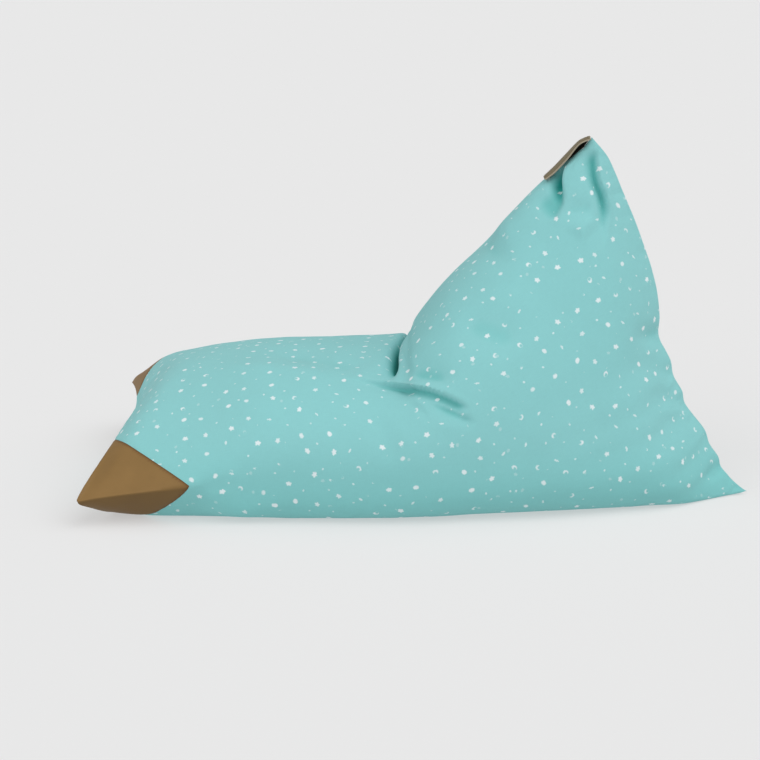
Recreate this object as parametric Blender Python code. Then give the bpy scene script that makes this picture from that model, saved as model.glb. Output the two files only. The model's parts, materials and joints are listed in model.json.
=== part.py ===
"""A low lounger pouf: one filled cloth bag that bends into a seat and a pointed back, two corner caps at the
foot end and a short strap handle on the front of the peak. Metres, +Z up, foot end towards -X, floor at 0."""
import math

import bmesh
import bpy
import numpy as np
from mathutils import Vector
from mathutils.bvhtree import BVHTree

# Mesh fineness
ROUND_POINTS = 76
ALONG_ROWS = 66
LEAST_FOLD_WIDTH = 0.026

# Where the mesh's rows and points gather: round the folds of the seat's corner and of the peak
ROW_GATHER = [(0.52, 0.10, 0.7), (0.92, 0.08, 0.4)]
SHOULDER_GATHER = 0.45
RIDGE_GATHER = 0.50

# Clearances and small sizes
PIECE_GAP = 0.00034
FLOOR_BLEND = 0.012
STRAP_WIDTH = 0.040
STRAP_THICK = 0.0034
STRAP_CLEAR = 0.0014
STRAP_BEND = 0.0022
STRAP_STEPS = 22
STRAP_ACROSS = 8

# The bag as sections from the foot seam (t = 0) to the back seam (t = 1). Every section goes through a top
# point and a bottom point of the middle plane, is half_width wide each way and widest at the belly share.
# The powers make it boxy below 1 and pinched above 1: side_pow at top and bottom, crown and foot_pow at the
# sides, above and below the belly. The sweep draws the sides towards the feet; near_z and far_z are the heights
# of the two widest points. The bow is the share of the back seam's own curve that the section takes. The
# powers under the columns say how the near and far sweep, and the two heights, grow from the middle outwards.
SECTION_COLUMNS = ("t", "top_x", "top_z", "bot_x", "bot_y", "bot_z", "half_width", "belly", "side_pow",
                   "crown_near", "crown_far", "foot_pow", "sweep_near", "sweep_far", "near_z", "far_z", "bow")
SWEEP_POWERS = (2.5, 1.4)
SIDE_POWER = 2.5
SECTION_ROWS = [
    (0, -1.1486, 0.124, -1.138, 0, 0.118, 0.335, 0.5, 1, 0.5, 0.5, 0.5, 0.0494, 0.0677, 0.048, 0.094, 0),
    (0.03, -1.128, 0.156, -1.126, 0, -0.017, 0.335, 0.686, 1.02, 1.85, 0.66, 1.49, 0.0615, 0.069, 0.0488, 0.089, 0),
    (0.08, -1.087, 0.201, -1.108, 0, -0.046, 0.332, 0.606, 1, 2.18, 0.97, 1.52, 0.0638, 0.058, 0.0545, 0.107, 0),
    (0.16, -1.014, 0.2315, -1.052, 0, -0.104, 0.323, 0.566, 0.98, 2, 0.925, 1.71, 0.031, 0.0325, 0.0665, 0.0935, 0),
    (0.21, -0.965, 0.2403, -1.003, 0, -0.098, 0.315, 0.53, 0.93, 1.6, 0.89, 1.52, 0.013, 0.02, 0.0746, 0.0953, 0),
    (0.27, -0.905, 0.2485, -0.945, 0, -0.0225, 0.307, 0.42, 0.87, 1.15, 0.81, 0.53, 0.006, 0.01, 0.08, 0.0884, 0),
    (0.4, -0.78, 0.2568, -0.82, 0, -0.038, 0.3, 0.41, 0.82, 0.94, 0.915, 0.53, 0, 0, 0.0877, 0.0877, 0),
    (0.5, -0.632, 0.2689, -0.7, 0, -0.03, 0.296, 0.4, 0.84, 0.9, 0.83, 0.55, -0.02, -0.02, 0.0848, 0.0848, 0),
    (0.57, -0.618, 0.304, -0.59, 0, -0.03, 0.2905, 0.39, 0.88, 0.92, 0.92, 0.51, -0.02, -0.02, 0.0991, 0.0991, 0.02),
    (0.66, -0.562, 0.3815, -0.455, 0, -0.03, 0.2705, 0.36, 0.93, 0.95, 0.95, 0.51, -0.01, -0.01, 0.1194, 0.1194, 0.08),
    (0.76, -0.4935, 0.4515, -0.31, -0.012, -0.03, 0.2385, 0.32, 0.98, 1, 1, 0.55, 0, 0, 0.1271, 0.1271, 0.22),
    (0.86, -0.434, 0.5225, -0.18, -0.036, -0.028, 0.178, 0.3, 1.04, 1.02, 1.02, 0.58, 0, 0, 0.1424, 0.1424, 0.45),
    (0.94, -0.351, 0.603, -0.075, -0.058, -0.02, 0.106, 0.3, 1, 1.02, 1.02, 0.6, 0, 0, 0.1669, 0.1669, 0.8),
    (1, -0.3, 0.65, -0.001, -0.057, 0.004, 0.003, 0.34, 0.6, 1, 1, 1, 0, 0, 0.2236, 0.2236, 1),
]

# The back seam between its two ends: height share, how far the seam stands out from a straight line
SEAM_ROWS = [
    (0.00, 0.000), (0.03, -0.015), (0.07, -0.026), (0.10, -0.024), (0.14, -0.030), (0.17, -0.028),
    (0.25, -0.042), (0.29, -0.037), (0.32, -0.041), (0.37, -0.034), (0.43, -0.037), (0.50, -0.020),
    (0.58, -0.003), (0.64, 0.005), (0.70, 0.009), (0.77, 0.0125), (0.84, 0.014), (0.90, 0.0145),
    (0.95, 0.0125), (1.00, 0.000),
]

# Folds laid by hand: trough depth, its width on the upper and lower side, the lip along the upper side, how
# far that lip leans over the trough, the shares of the length over which it fades in and out, and the path.
# Upper is to the left of the path when seen from outside and walking along it.
FOLD_COLUMNS = ("name", "depth", "up", "down", "lip", "lean", "fade_in", "fade_out", "path")
FOLD_ROWS = [
    ("seat_valley", 0.024, 0.006, 0.007, 0.002, 0.004, 0.20, 0.24,
     [(-0.622, 0.262, 0.180), (-0.628, 0.215, 0.225), (-0.634, 0.130, 0.256), (-0.640, 0.033, 0.266),
      (-0.641, -0.046, 0.265), (-0.643, -0.111, 0.257), (-0.646, -0.156, 0.246)]),
    ("valley_gap", 0.066, 0.008, 0.013, 0.002, 0.016, 0.36, 0.72,
     [(-0.638, 0.080, 0.264), (-0.638, 0.030, 0.266), (-0.639, -0.012, 0.266), (-0.640, -0.046, 0.265),
      (-0.642, -0.082, 0.262), (-0.644, -0.111, 0.257), (-0.648, -0.137, 0.251), (-0.652, -0.168, 0.242),
      (-0.654, -0.182, 0.237)]),
    ("near_crease", 0.014, 0.0035, 0.017, 0.006, 0.003, 0.45, 0.12,
     [(-0.744, -0.172, 0.237), (-0.711, -0.177, 0.235), (-0.680, -0.184, 0.233), (-0.653, -0.190, 0.232),
      (-0.631, -0.200, 0.232), (-0.607, -0.225, 0.236), (-0.585, -0.237, 0.235), (-0.566, -0.246, 0.231),
      (-0.546, -0.252, 0.224), (-0.527, -0.256, 0.216), (-0.509, -0.258, 0.208)]),
    ("near_crease_low", 0.008, 0.0035, 0.012, 0.003, 0.001, 0.50, 0.25,
     [(-0.597, -0.246, 0.219), (-0.579, -0.254, 0.215), (-0.562, -0.259, 0.211), (-0.544, -0.262, 0.204),
      (-0.527, -0.263, 0.197), (-0.509, -0.263, 0.190), (-0.495, -0.262, 0.185)]),
    ("near_dent", 0.004, 0.005, 0.009, 0.001, 0.000, 0.40, 0.40,
     [(-0.624, -0.232, 0.215), (-0.608, -0.249, 0.210), (-0.590, -0.261, 0.202), (-0.579, -0.266, 0.195)]),
    ("near_slack", 0.0035, 0.018, 0.022, 0.001, 0.000, 0.40, 0.45,
     [(-0.684, -0.225, 0.205), (-0.668, -0.262, 0.175), (-0.646, -0.283, 0.135), (-0.632, -0.289, 0.100)]),
    ("cheek_shade", 0.010, 0.022, 0.011, 0.000, 0.000, 0.35, 0.45,
     [(-0.634, -0.158, 0.249), (-0.607, -0.202, 0.256), (-0.581, -0.221, 0.257), (-0.556, -0.233, 0.254),
      (-0.531, -0.242, 0.246)]),
    ("seat_ridge", -0.005, 0.050, 0.040, 0.000, 0.000, 0.35, 0.35,
     [(-1.037, -0.060, 0.236), (-0.935, -0.100, 0.246), (-0.820, -0.140, 0.244), (-0.735, -0.165, 0.236)]),
    ("seat_slack", 0.007, 0.050, 0.040, 0.000, 0.000, 0.40, 0.25,
     [(-0.930, 0.000, 0.250), (-0.840, -0.060, 0.254), (-0.760, -0.110, 0.248), (-0.700, -0.150, 0.238)]),
    ("back_soft", 0.008, 0.040, 0.035, 0.002, 0.000, 0.40, 0.40,
     [(-0.530, -0.150, 0.340), (-0.500, -0.170, 0.330), (-0.450, -0.185, 0.315), (-0.400, -0.188, 0.295)]),
    ("back_edge", 0.007, 0.022, 0.030, 0.002, 0.000, 0.30, 0.50,
     [(-0.485, 0.030, 0.460), (-0.478, -0.025, 0.455), (-0.455, -0.080, 0.435), (-0.425, -0.110, 0.410)]),
    ("handle_tuck", 0.008, 0.004, 0.004, 0.000, 0.000, 0.20, 0.50,
     [(-0.363, -0.010, 0.588), (-0.356, -0.009, 0.596), (-0.348, -0.009, 0.603), (-0.338, -0.008, 0.612)]),
    ("handle_press", 0.0040, 0.014, 0.014, 0.000, 0.000, 0.30, 0.20,
     [(-0.352, 0.001, 0.602), (-0.337, 0.001, 0.615), (-0.322, 0.001, 0.629), (-0.305, 0.001, 0.643)]),
    ("peak_pit", 0.034, 0.008, 0.014, 0.002, 0.004, 0.08, 0.80,
     [(-0.356, -0.006, 0.599), (-0.360, -0.018, 0.588), (-0.361, -0.027, 0.576), (-0.360, -0.038, 0.564),
      (-0.357, -0.049, 0.548), (-0.356, -0.061, 0.530), (-0.356, -0.072, 0.514)]),
    ("peak_shade", 0.011, 0.022, 0.020, 0.000, 0.000, 0.35, 0.35,
     [(-0.390, -0.022, 0.556), (-0.381, -0.046, 0.538), (-0.368, -0.061, 0.525), (-0.352, -0.068, 0.521)]),
    ("peak_level", 0.006, 0.022, 0.018, 0.000, 0.000, 0.35, 0.30,
     [(-0.356, -0.059, 0.533), (-0.334, -0.066, 0.529), (-0.311, -0.066, 0.530), (-0.290, -0.059, 0.532)]),
    ("peak_swell", -0.006, 0.016, 0.022, 0.000, 0.000, 0.35, 0.35,
     [(-0.338, -0.090, 0.485), (-0.323, -0.083, 0.498), (-0.306, -0.079, 0.503), (-0.291, -0.079, 0.494)]),
    ("peak_fold", 0.016, 0.005, 0.022, 0.005, 0.006, 0.20, 0.45,
     [(-0.293, -0.008, 0.630), (-0.292, -0.012, 0.622), (-0.291, -0.020, 0.606), (-0.288, -0.029, 0.587),
      (-0.282, -0.035, 0.570), (-0.274, -0.038, 0.556), (-0.270, -0.044, 0.539), (-0.270, -0.053, 0.522),
      (-0.275, -0.067, 0.503), (-0.280, -0.082, 0.480), (-0.282, -0.095, 0.457)]),
    ("seam_tuck_1", 0.0075, 0.018, 0.016, 0.004, 0.000, 0.24, 0.65,
     [(-0.160, -0.018, 0.296), (-0.185, -0.058, 0.300), (-0.215, -0.093, 0.303), (-0.250, -0.125, 0.303)]),
    ("seam_tuck_2", 0.0060, 0.014, 0.014, 0.003, 0.000, 0.24, 0.65,
     [(-0.135, -0.025, 0.226), (-0.160, -0.058, 0.231), (-0.190, -0.090, 0.236), (-0.222, -0.124, 0.237)]),
    ("seam_tuck_3", 0.0053, 0.013, 0.013, 0.003, 0.000, 0.24, 0.65,
     [(-0.108, -0.032, 0.172), (-0.135, -0.062, 0.178), (-0.165, -0.092, 0.184), (-0.196, -0.122, 0.185)]),
    ("tail_tuck", 0.006, 0.012, 0.014, 0.002, 0.000, 0.20, 0.50,
     [(-0.045, -0.052, 0.062), (-0.062, -0.064, 0.050), (-0.082, -0.080, 0.042), (-0.110, -0.100, 0.036)]),
    ("cap_crease", 0.003, 0.014, 0.016, 0.000, 0.000, 0.40, 0.60,
     [(-0.999, -0.310, 0.074), (-0.953, -0.306, 0.076), (-0.905, -0.303, 0.076)]),
    ("far_crease", 0.026, 0.012, 0.018, 0.006, 0.008, 0.18, 0.40,
     [(-0.480, 0.255, 0.185), (-0.520, 0.256, 0.200), (-0.560, 0.250, 0.212), (-0.600, 0.236, 0.222),
      (-0.640, 0.215, 0.228), (-0.690, 0.195, 0.230)]),
    ("far_crease_low", 0.008, 0.014, 0.016, 0.003, 0.000, 0.30, 0.40,
     [(-0.500, 0.262, 0.165), (-0.545, 0.266, 0.180), (-0.595, 0.262, 0.192)]),
    ("far_soft", 0.007, 0.040, 0.035, 0.002, 0.000, 0.40, 0.40,
     [(-0.380, 0.190, 0.290), (-0.440, 0.188, 0.312), (-0.510, 0.160, 0.338)]),
    ("far_peak_fold", 0.015, 0.014, 0.018, 0.005, 0.000, 0.25, 0.50,
     [(-0.300, 0.012, 0.612), (-0.300, 0.030, 0.575), (-0.296, 0.050, 0.530), (-0.300, 0.074, 0.475)]),
    ("far_seam_tuck", 0.010, 0.018, 0.016, 0.004, 0.000, 0.24, 0.65,
     [(-0.150, 0.000, 0.262), (-0.180, 0.045, 0.266), (-0.215, 0.085, 0.270), (-0.255, 0.120, 0.272)]),
    ("far_seam_tuck_low", 0.008, 0.015, 0.015, 0.003, 0.000, 0.24, 0.65,
     [(-0.112, -0.008, 0.160), (-0.145, 0.035, 0.166), (-0.180, 0.075, 0.170)]),
    ("foot_tuck_1", 0.003, 0.016, 0.018, 0.001, 0.000, 0.35, 0.60,
     [(-1.136, -0.110, 0.132), (-1.115, -0.104, 0.170), (-1.080, -0.096, 0.208)]),
    ("foot_tuck_2", 0.003, 0.016, 0.018, 0.001, 0.000, 0.35, 0.60,
     [(-1.134, 0.075, 0.135), (-1.112, 0.080, 0.178), (-1.075, 0.088, 0.214)]),
]

# The handle's ends along the front ridge of the back, and its lift off the ridge at shares of its length
STRAP_LOW = (-0.384, 0.576)
STRAP_TOP = (-0.303, 0.650)
STRAP_LIFT = [(0.00, 0.0002), (0.15, 0.0003), (0.30, 0.0010), (0.45, 0.0028), (0.60, 0.0046), (0.72, 0.0060),
              (0.81, 0.0066), (0.90, 0.0046), (1.00, 0.0006)]

# How far the handle's near edge hangs down at shares of its length
STRAP_DROOP = [(0.00, 0.0004), (0.16, 0.0025), (0.35, 0.0028), (0.53, 0.0024), (0.64, 0.0010), (0.72, 0.0000),
               (1.00, 0.0000)]

# Each cap's seam joins a point of the foot seam to a point of the side. From that line the cap's end face
# leans towards the corner, by the two slopes, above and below.
CAP_NEAR = ((-1.155, -0.165, 0.112), (-0.997, -0.315, 0.0744), 1.00, 0.25)
CAP_FAR = ((-1.165, 0.122, 0.122), (-1.015, 0.317, 0.093), 0.75, 0.25)


def read_table(rows, at):
    """The rows' columns at the given first-column values, by a smooth curve through every row."""
    table = np.array(rows, float)
    key, val = table[:, 0], table[:, 1:]
    span = (key[1:] - key[:-1])[:, None]
    rise = (val[1:] - val[:-1]) / span
    slope = np.empty_like(val)
    slope[0], slope[-1] = rise[0], rise[-1]
    slope[1:-1] = (rise[:-1] * span[1:] + rise[1:] * span[:-1]) / (span[:-1] + span[1:])
    at = np.asarray(at, float)
    i = np.clip(np.searchsorted(key, at, side="right") - 1, 0, len(key) - 2)
    h = span[i]
    s = (at - key[i])[:, None] / h
    return ((2 * s**3 - 3 * s**2 + 1) * val[i] + (s**3 - 2 * s**2 + s) * h * slope[i]
            + (3 * s**2 - 2 * s**3) * val[i + 1] + (s**3 - s**2) * h * slope[i + 1])


def section_curve(row, phi):
    """Points of one section at the angles phi: -90 degrees is the bottom, 0 the far side, 90 the top."""
    c = dict(zip(SECTION_COLUMNS[1:], row))
    top = np.array([c["top_x"], 0.0, c["top_z"]])
    bot = np.array([c["bot_x"], c["bot_y"], c["bot_z"]])
    cos, sin = np.cos(phi), np.sin(phi)
    above, near = sin >= 0, cos < 0
    reach = np.where(above, 1 - c["belly"], c["belly"])
    power = np.where(above, np.where(near, c["crown_near"], c["crown_far"]), c["foot_pow"])
    share = c["belly"] + reach * np.sign(sin) * np.abs(sin) ** power
    points = bot + share[:, None] * (top - bot)
    powers = np.where(near, *SWEEP_POWERS)
    points[:, 0] -= np.where(near, c["sweep_near"], c["sweep_far"]) * np.abs(cos) ** powers
    points[:, 0] += c["bow"] * read_table(SEAM_ROWS, np.clip(share, 0, 1))[:, 0]
    points[:, 1] += c["half_width"] * np.sign(cos) * np.abs(cos) ** c["side_pow"]
    level = c["bot_z"] + c["belly"] * (c["top_z"] - c["bot_z"])
    points[:, 2] += (np.where(near, c["near_z"], c["far_z"]) - level) * np.abs(cos) ** SIDE_POWER
    return points


def cut_curve(curve, shares):
    """The curve's points at the given shares of its length."""
    length = np.concatenate([[0.0], np.cumsum(np.linalg.norm(np.diff(curve, axis=0), axis=1))])
    return np.stack([np.interp(shares * length[-1], length, curve[:, k]) for k in range(3)], 1)


def section_ring(t, row, count):
    """One section as a ring: bottom, far side, top, near side, with points gathered where the folds are."""
    shoulder = SHOULDER_GATHER * math.exp(-((t - 0.52) / 0.16) ** 2)
    ridge = RIDGE_GATHER * math.exp(-((t - 0.92) / 0.12) ** 2)
    even = np.linspace(0.0, 1.0, count // 4 + 1)
    down = even + shoulder * np.sin(2 * math.pi * even) / (2 * math.pi)
    down -= ridge * np.sin(math.pi * even) / math.pi
    shares = (even, 1 - down[::-1], down, even)
    quarters = []
    for k in range(4):
        phi = np.linspace(k - 1, k, 121) * math.pi / 2
        quarters.append(cut_curve(section_curve(row, phi), shares[k])[:-1])
    return np.concatenate(quarters)


def smooth_bag(rows_along, points_round):
    """The bag without folds: rings spaced evenly along the cloth, as an array of row, point, xyz."""
    fine = np.linspace(0, 1, 300)
    rings = np.array([section_ring(t, row, 40) for t, row in zip(fine, read_table(SECTION_ROWS, fine))])
    step = np.sqrt((np.linalg.norm(np.diff(rings, axis=0), axis=2) ** 2).mean(1))
    middle = (fine[1:] + fine[:-1]) / 2
    for where, spread, more in ROW_GATHER:
        step *= 1 + more * np.exp(-((middle - where) / spread) ** 2)
    length = np.concatenate([[0.0], np.cumsum(step)])
    at = np.interp(np.linspace(0, length[-1], rows_along), length, fine)
    return np.array([section_ring(t, row, points_round) for t, row in zip(at, read_table(SECTION_ROWS, at))])


def ring_normals(grid):
    """Outward unit normals of the rings' points."""
    along = np.gradient(grid, axis=0)
    around = np.roll(grid, -1, 1) - np.roll(grid, 1, 1)
    normal = np.cross(along, around)
    size = np.linalg.norm(normal, axis=2, keepdims=True)
    normal /= np.maximum(size, 1e-12)
    outward = grid - grid.mean(1, keepdims=True)
    if (normal * outward).sum() < 0:
        normal = -normal
    return normal


def fade(x):
    """0 at 0, 1 from 1 on, smooth between."""
    x = np.clip(x, 0, 1)
    return x * x * (3 - 2 * x)


def fold_shift(points, normals, fold, least_width):
    """How one fold of the table moves the points of the smooth bag."""
    f = dict(zip(FOLD_COLUMNS, fold))
    f["depth"] *= math.sqrt(min(1.0, (f["up"] + f["down"]) / (2 * least_width)))
    f["up"] = max(f["up"], least_width)
    f["down"] = max(f["down"], least_width)
    knots = [(i,) + tuple(p) for i, p in enumerate(f["path"])]
    path = read_table(knots, np.linspace(0, len(knots) - 1, 8 * (len(knots) - 1) + 1))
    shift = np.zeros_like(points)
    reach = 5.0 * max(f["up"], f["down"])
    low, high = path.min(0) - reach, path.max(0) + reach
    inside = np.where(((points > low) & (points < high)).all(1))[0]
    if len(inside) == 0:
        return shift
    p, n = points[inside], normals[inside]
    start, leg = path[:-1], path[1:] - path[:-1]
    share = np.clip(((p[:, None] - start) * leg).sum(2) / (leg ** 2).sum(1), 0, 1)
    near = start + share[:, :, None] * leg
    which = np.linalg.norm(p[:, None] - near, axis=2).argmin(1)
    pick = np.arange(len(p))
    foot = near[pick, which]
    along = (which + share[pick, which]) / len(leg)
    nearest = np.linalg.norm(points[None] - path[:, None], axis=2).argmin(1)
    face = normals[nearest]
    padded = np.pad(face, ((3, 3), (0, 0)), mode="edge")
    face = np.stack([np.convolve(padded[:, k], np.ones(7) / 7, "valid") for k in range(3)], 1)
    face /= np.linalg.norm(face, axis=1, keepdims=True)
    face = face[np.minimum(which, len(face) - 1)]
    run = leg[which] / np.linalg.norm(leg[which], axis=1, keepdims=True)
    across = np.cross(face, run)
    across /= np.linalg.norm(across, axis=1, keepdims=True)
    offset = p - foot
    depth_off = (offset * n).sum(1)
    flat = offset - depth_off[:, None] * n
    side = (flat * across).sum(1)
    width = np.where(side > 0, f["up"], f["down"])
    x = np.sign(side) * np.linalg.norm(flat, axis=1) / width
    weight = fade(along / f["fade_in"]) * fade((1 - along) / f["fade_out"])
    weight *= fade(1.6 * (n * face).sum(1)) * np.exp(-(depth_off / 0.05) ** 2)
    trough = f["depth"] * np.exp(-np.abs(x) ** 1.7)
    lip = np.where(x > 0, f["lip"] * np.exp(-((x - 1.7) / 0.8) ** 2), 0.0)
    lean = np.where(x > 0, f["lean"] * np.exp(-((x - 1.5) / np.where(x > 1.5, 1.8, 0.8)) ** 2), 0.0)
    shift[inside] = (weight * (lip - trough))[:, None] * n - (weight * lean)[:, None] * across
    return shift


def rest_on_floor(z):
    """Heights after the cloth settles on the floor: flat below it, with a short rounded run-up."""
    r = FLOOR_BLEND
    return np.where(z <= -r, 0.0, np.where(z >= r, z, (z + r) ** 2 / (4 * r)))


def folded_bag(rows_along, points_round, least_width):
    """The bag with its folds, resting on the floor."""
    grid = smooth_bag(rows_along, points_round)
    points = grid.reshape(-1, 3)
    normals = ring_normals(grid).reshape(-1, 3)
    moved = points.copy()
    for fold in FOLD_ROWS:
        moved += fold_shift(points, normals, fold, least_width)
    moved[:, 2] = rest_on_floor(moved[:, 2])
    return moved.reshape(grid.shape)


# Meshes of the pieces


def closed_rings(grid):
    """Quads over the rings, closed at the foot seam, top to bottom, and at the back seam, near to far."""
    rows, n = grid.shape[:2]
    faces = []
    for i in range(rows - 1):
        for j in range(n):
            k = (j + 1) % n
            faces.append((i * n + j, (i + 1) * n + j, (i + 1) * n + k, i * n + k))
    half, last = n // 2, (rows - 1) * n
    for j in range(n // 4, 3 * n // 4):
        faces.append((j, j + 1, (half - j - 1) % n, (half - j) % n))
    for j in range(half):
        faces.append((last + j, last + (n - j) % n, last + n - j - 1, last + j + 1))
    return [tuple(dict.fromkeys(face)) for face in faces]


def mesh_piece(points, faces):
    """A bmesh of the points and faces with its faces turned outwards."""
    bm = bmesh.new()
    verts = [bm.verts.new(p) for p in points]
    for face in faces:
        bm.faces.new([verts[i] for i in face])
    bmesh.ops.recalc_face_normals(bm, faces=bm.faces)
    return bm


def cap_planes(cap, side, clear):
    """A point on the cap's seam line and the normals, towards the corner, of its end face's two halves."""
    start, end = Vector(cap[0]), Vector(cap[1])
    line = (end - start).normalized()
    out = Vector((line.y, -line.x, 0.0)).normalized()
    if out.y * side < 0:
        out = -out
    up = out.cross(line).normalized()
    if up.z < 0:
        up = -up
    normals = (out - cap[2] * up).normalized(), (out + cap[3] * up).normalized()
    return start + clear * out, normals


def rim_chains(rim, ends):
    """The open rim walked from one end vertex to the other, both ways round."""
    chains = []
    for edge in ends[0].link_edges:
        if edge not in rim:
            continue
        chain, vert = [ends[0]], edge.other_vert(ends[0])
        while vert is not ends[1]:
            chain.append(vert)
            edge = next(e for e in vert.link_edges if e in rim and e is not edge)
            vert = edge.other_vert(vert)
        chains.append(chain + [ends[1]])
    return chains


def cut_piece(bm, point, normals, keep_corner):
    """Keeps the corner beyond both planes, or the rest, and closes the cut with its two flat halves."""
    for normal in normals:
        geometry = bm.verts[:] + bm.edges[:] + bm.faces[:]
        bmesh.ops.bisect_plane(bm, geom=geometry, dist=1e-7, plane_co=point, plane_no=normal)
    lost = []
    for face in bm.faces:
        offset = face.calc_center_median() - point
        if (min(offset.dot(n) for n in normals) > 0) != keep_corner:
            lost.append(face)
    bmesh.ops.delete(bm, geom=lost, context="FACES")
    rim = {e for e in bm.edges if e.is_boundary}
    on_rim = {v for e in rim for v in e.verts}
    ends = sorted(on_rim, key=lambda v: max(abs((v.co - point).dot(n)) for n in normals))[:2]
    for chain in rim_chains(rim, ends):
        bm.faces.new(chain)
    bmesh.ops.recalc_face_normals(bm, faces=bm.faces)


def strap_sides():
    """The places of the handle's points from its near edge to its far edge."""
    return [STRAP_WIDTH * (j / STRAP_ACROSS - 0.5) for j in range(STRAP_ACROSS + 1)]


def strap_rows(tree):
    """Along the front ridge: the way out, the handle's centres, and the cloth's heights below its points."""
    low, top = np.array(STRAP_LOW), np.array(STRAP_TOP)
    run = (top - low) / np.linalg.norm(top - low)
    out = np.array([-run[1], run[0]])
    centres = low + np.linspace(0, 1, STRAP_STEPS + 1)[:, None] * (top - low)
    heights = np.full((STRAP_STEPS + 1, STRAP_ACROSS + 1), -0.02)
    for i, centre in enumerate(centres):
        for j, y in enumerate(strap_sides()):
            start = Vector((centre[0] + 0.08 * out[0], y, centre[1] + 0.08 * out[1]))
            hit = tree.ray_cast(start, Vector((-out[0], 0.0, -out[1])), 0.16)[0]
            if hit is not None:
                heights[i, j] = (hit.x - centre[0]) * out[0] + (hit.z - centre[1]) * out[1]
    return out, centres, heights


def pulled_tight(heights):
    """The heights of a band pulled tight over the given ones, which are evenly spaced."""
    hull = [0]
    for i in range(1, len(heights)):
        while len(hull) > 1:
            a, b = hull[-2:]
            if (heights[b] - heights[a]) * (i - a) > (heights[i] - heights[a]) * (b - a):
                break
            hull.pop()
        hull.append(i)
    return np.interp(range(len(heights)), hull, np.asarray(heights)[hull])


def strap_mesh(bag):
    """The handle: a flat strap sewn down at both ends over the ridge, with a finger's room under it."""
    bag = bag.copy()
    bmesh.ops.triangulate(bag, faces=bag.faces)
    out, centres, heights = strap_rows(BVHTree.FromBMesh(bag))
    bag.free()
    lift = read_table(STRAP_LIFT, np.linspace(0, 1, STRAP_STEPS + 1))[:, 0] + STRAP_CLEAR
    droop = read_table(STRAP_DROOP, np.linspace(0, 1, STRAP_STEPS + 1))[:, 0]
    level = pulled_tight(heights.max(1))
    under = []
    for j, y in enumerate(strap_sides()):
        share = 2 * y / STRAP_WIDTH
        bent = level - STRAP_BEND * share ** 2
        height = pulled_tight(np.maximum(heights[:, j], bent)) + lift - droop * max(0.0, -share) ** 1.5
        under.append(np.maximum(height, heights[:, j] + STRAP_CLEAR))
    points = []
    for i, centre in enumerate(centres):
        for j, y in enumerate(strap_sides()):
            for h in (under[j][i], under[j][i] + STRAP_THICK):
                points.append((centre[0] + h * out[0], y, centre[1] + h * out[1]))
    width = STRAP_ACROSS + 1
    faces = []

    def at(i, j, k):
        return 2 * (i * width + j) + k

    for i in range(STRAP_STEPS):
        for j in range(STRAP_ACROSS):
            faces.append((at(i, j, 0), at(i + 1, j, 0), at(i + 1, j + 1, 0), at(i, j + 1, 0)))
            faces.append((at(i, j, 1), at(i, j + 1, 1), at(i + 1, j + 1, 1), at(i + 1, j, 1)))
        for j in (0, STRAP_ACROSS):
            faces.append((at(i, j, 0), at(i, j, 1), at(i + 1, j, 1), at(i + 1, j, 0)))
    for i in (0, STRAP_STEPS):
        for j in range(STRAP_ACROSS):
            faces.append((at(i, j, 0), at(i, j + 1, 0), at(i, j + 1, 1), at(i, j, 1)))
    return mesh_piece(points, faces)


def material(name, colour, roughness):
    """A plain surface for one piece."""
    mat = bpy.data.materials.new(name)
    mat.use_nodes = True
    shader = mat.node_tree.nodes["Principled BSDF"]
    shader.inputs["Base Color"].default_value = (*colour, 1.0)
    shader.inputs["Roughness"].default_value = roughness
    return mat


def add_piece(name, bm, shift, mat):
    """Puts the mesh in the scene as one named object, moved to the part's origin."""
    bmesh.ops.translate(bm, verts=bm.verts, vec=shift)
    bmesh.ops.triangulate(bm, faces=bm.faces, quad_method="SHORT_EDGE")
    mesh = bpy.data.meshes.new(name)
    bm.to_mesh(mesh)
    bm.free()
    mesh.materials.append(mat)
    bpy.context.scene.collection.objects.link(bpy.data.objects.new(name, mesh))


def build():
    for old in list(bpy.data.objects):
        bpy.data.objects.remove(old, do_unlink=True)

    grid = folded_bag(ALONG_ROWS, ROUND_POINTS, LEAST_FOLD_WIDTH)
    whole = mesh_piece(grid.reshape(-1, 3).tolist(), closed_rings(grid))
    strap = strap_mesh(whole)

    bag = whole.copy()
    caps = {}
    for name, cap, side in (("corner_near", CAP_NEAR, -1), ("corner_far", CAP_FAR, 1)):
        caps[name] = whole.copy()
        cut_piece(bag, *cap_planes(cap, side, 0.0), False)
        cut_piece(caps[name], *cap_planes(cap, side, PIECE_GAP), True)
    whole.free()

    corners = [v.co for bm in (bag, strap, *caps.values()) for v in bm.verts]
    low = [min(c[k] for c in corners) for k in range(3)]
    high = [max(c[k] for c in corners) for k in range(3)]
    shift = Vector((-(low[0] + high[0]) / 2, -(low[1] + high[1]) / 2, -low[2]))

    cloth = material("printed_cloth", (0.252, 0.588, 0.592), 0.85)
    brown = material("brown_leather", (0.240, 0.142, 0.050), 0.55)
    add_piece("bag", bag, shift, cloth)
    for name, bm in caps.items():
        add_piece(name, bm, shift, brown)
    add_piece("handle", strap, shift, brown)


build()
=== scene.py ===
"""A lounger pouf dressed for a picture: the printed cover with its folds and seams, two corner caps, the
strap handle and a pale studio. Metres, +Z up, foot end towards -X, floor at z = 0."""
import functools
import json
import math

import bmesh
import bpy
import numpy as np
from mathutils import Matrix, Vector, noise
from mathutils.bvhtree import BVHTree


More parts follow.
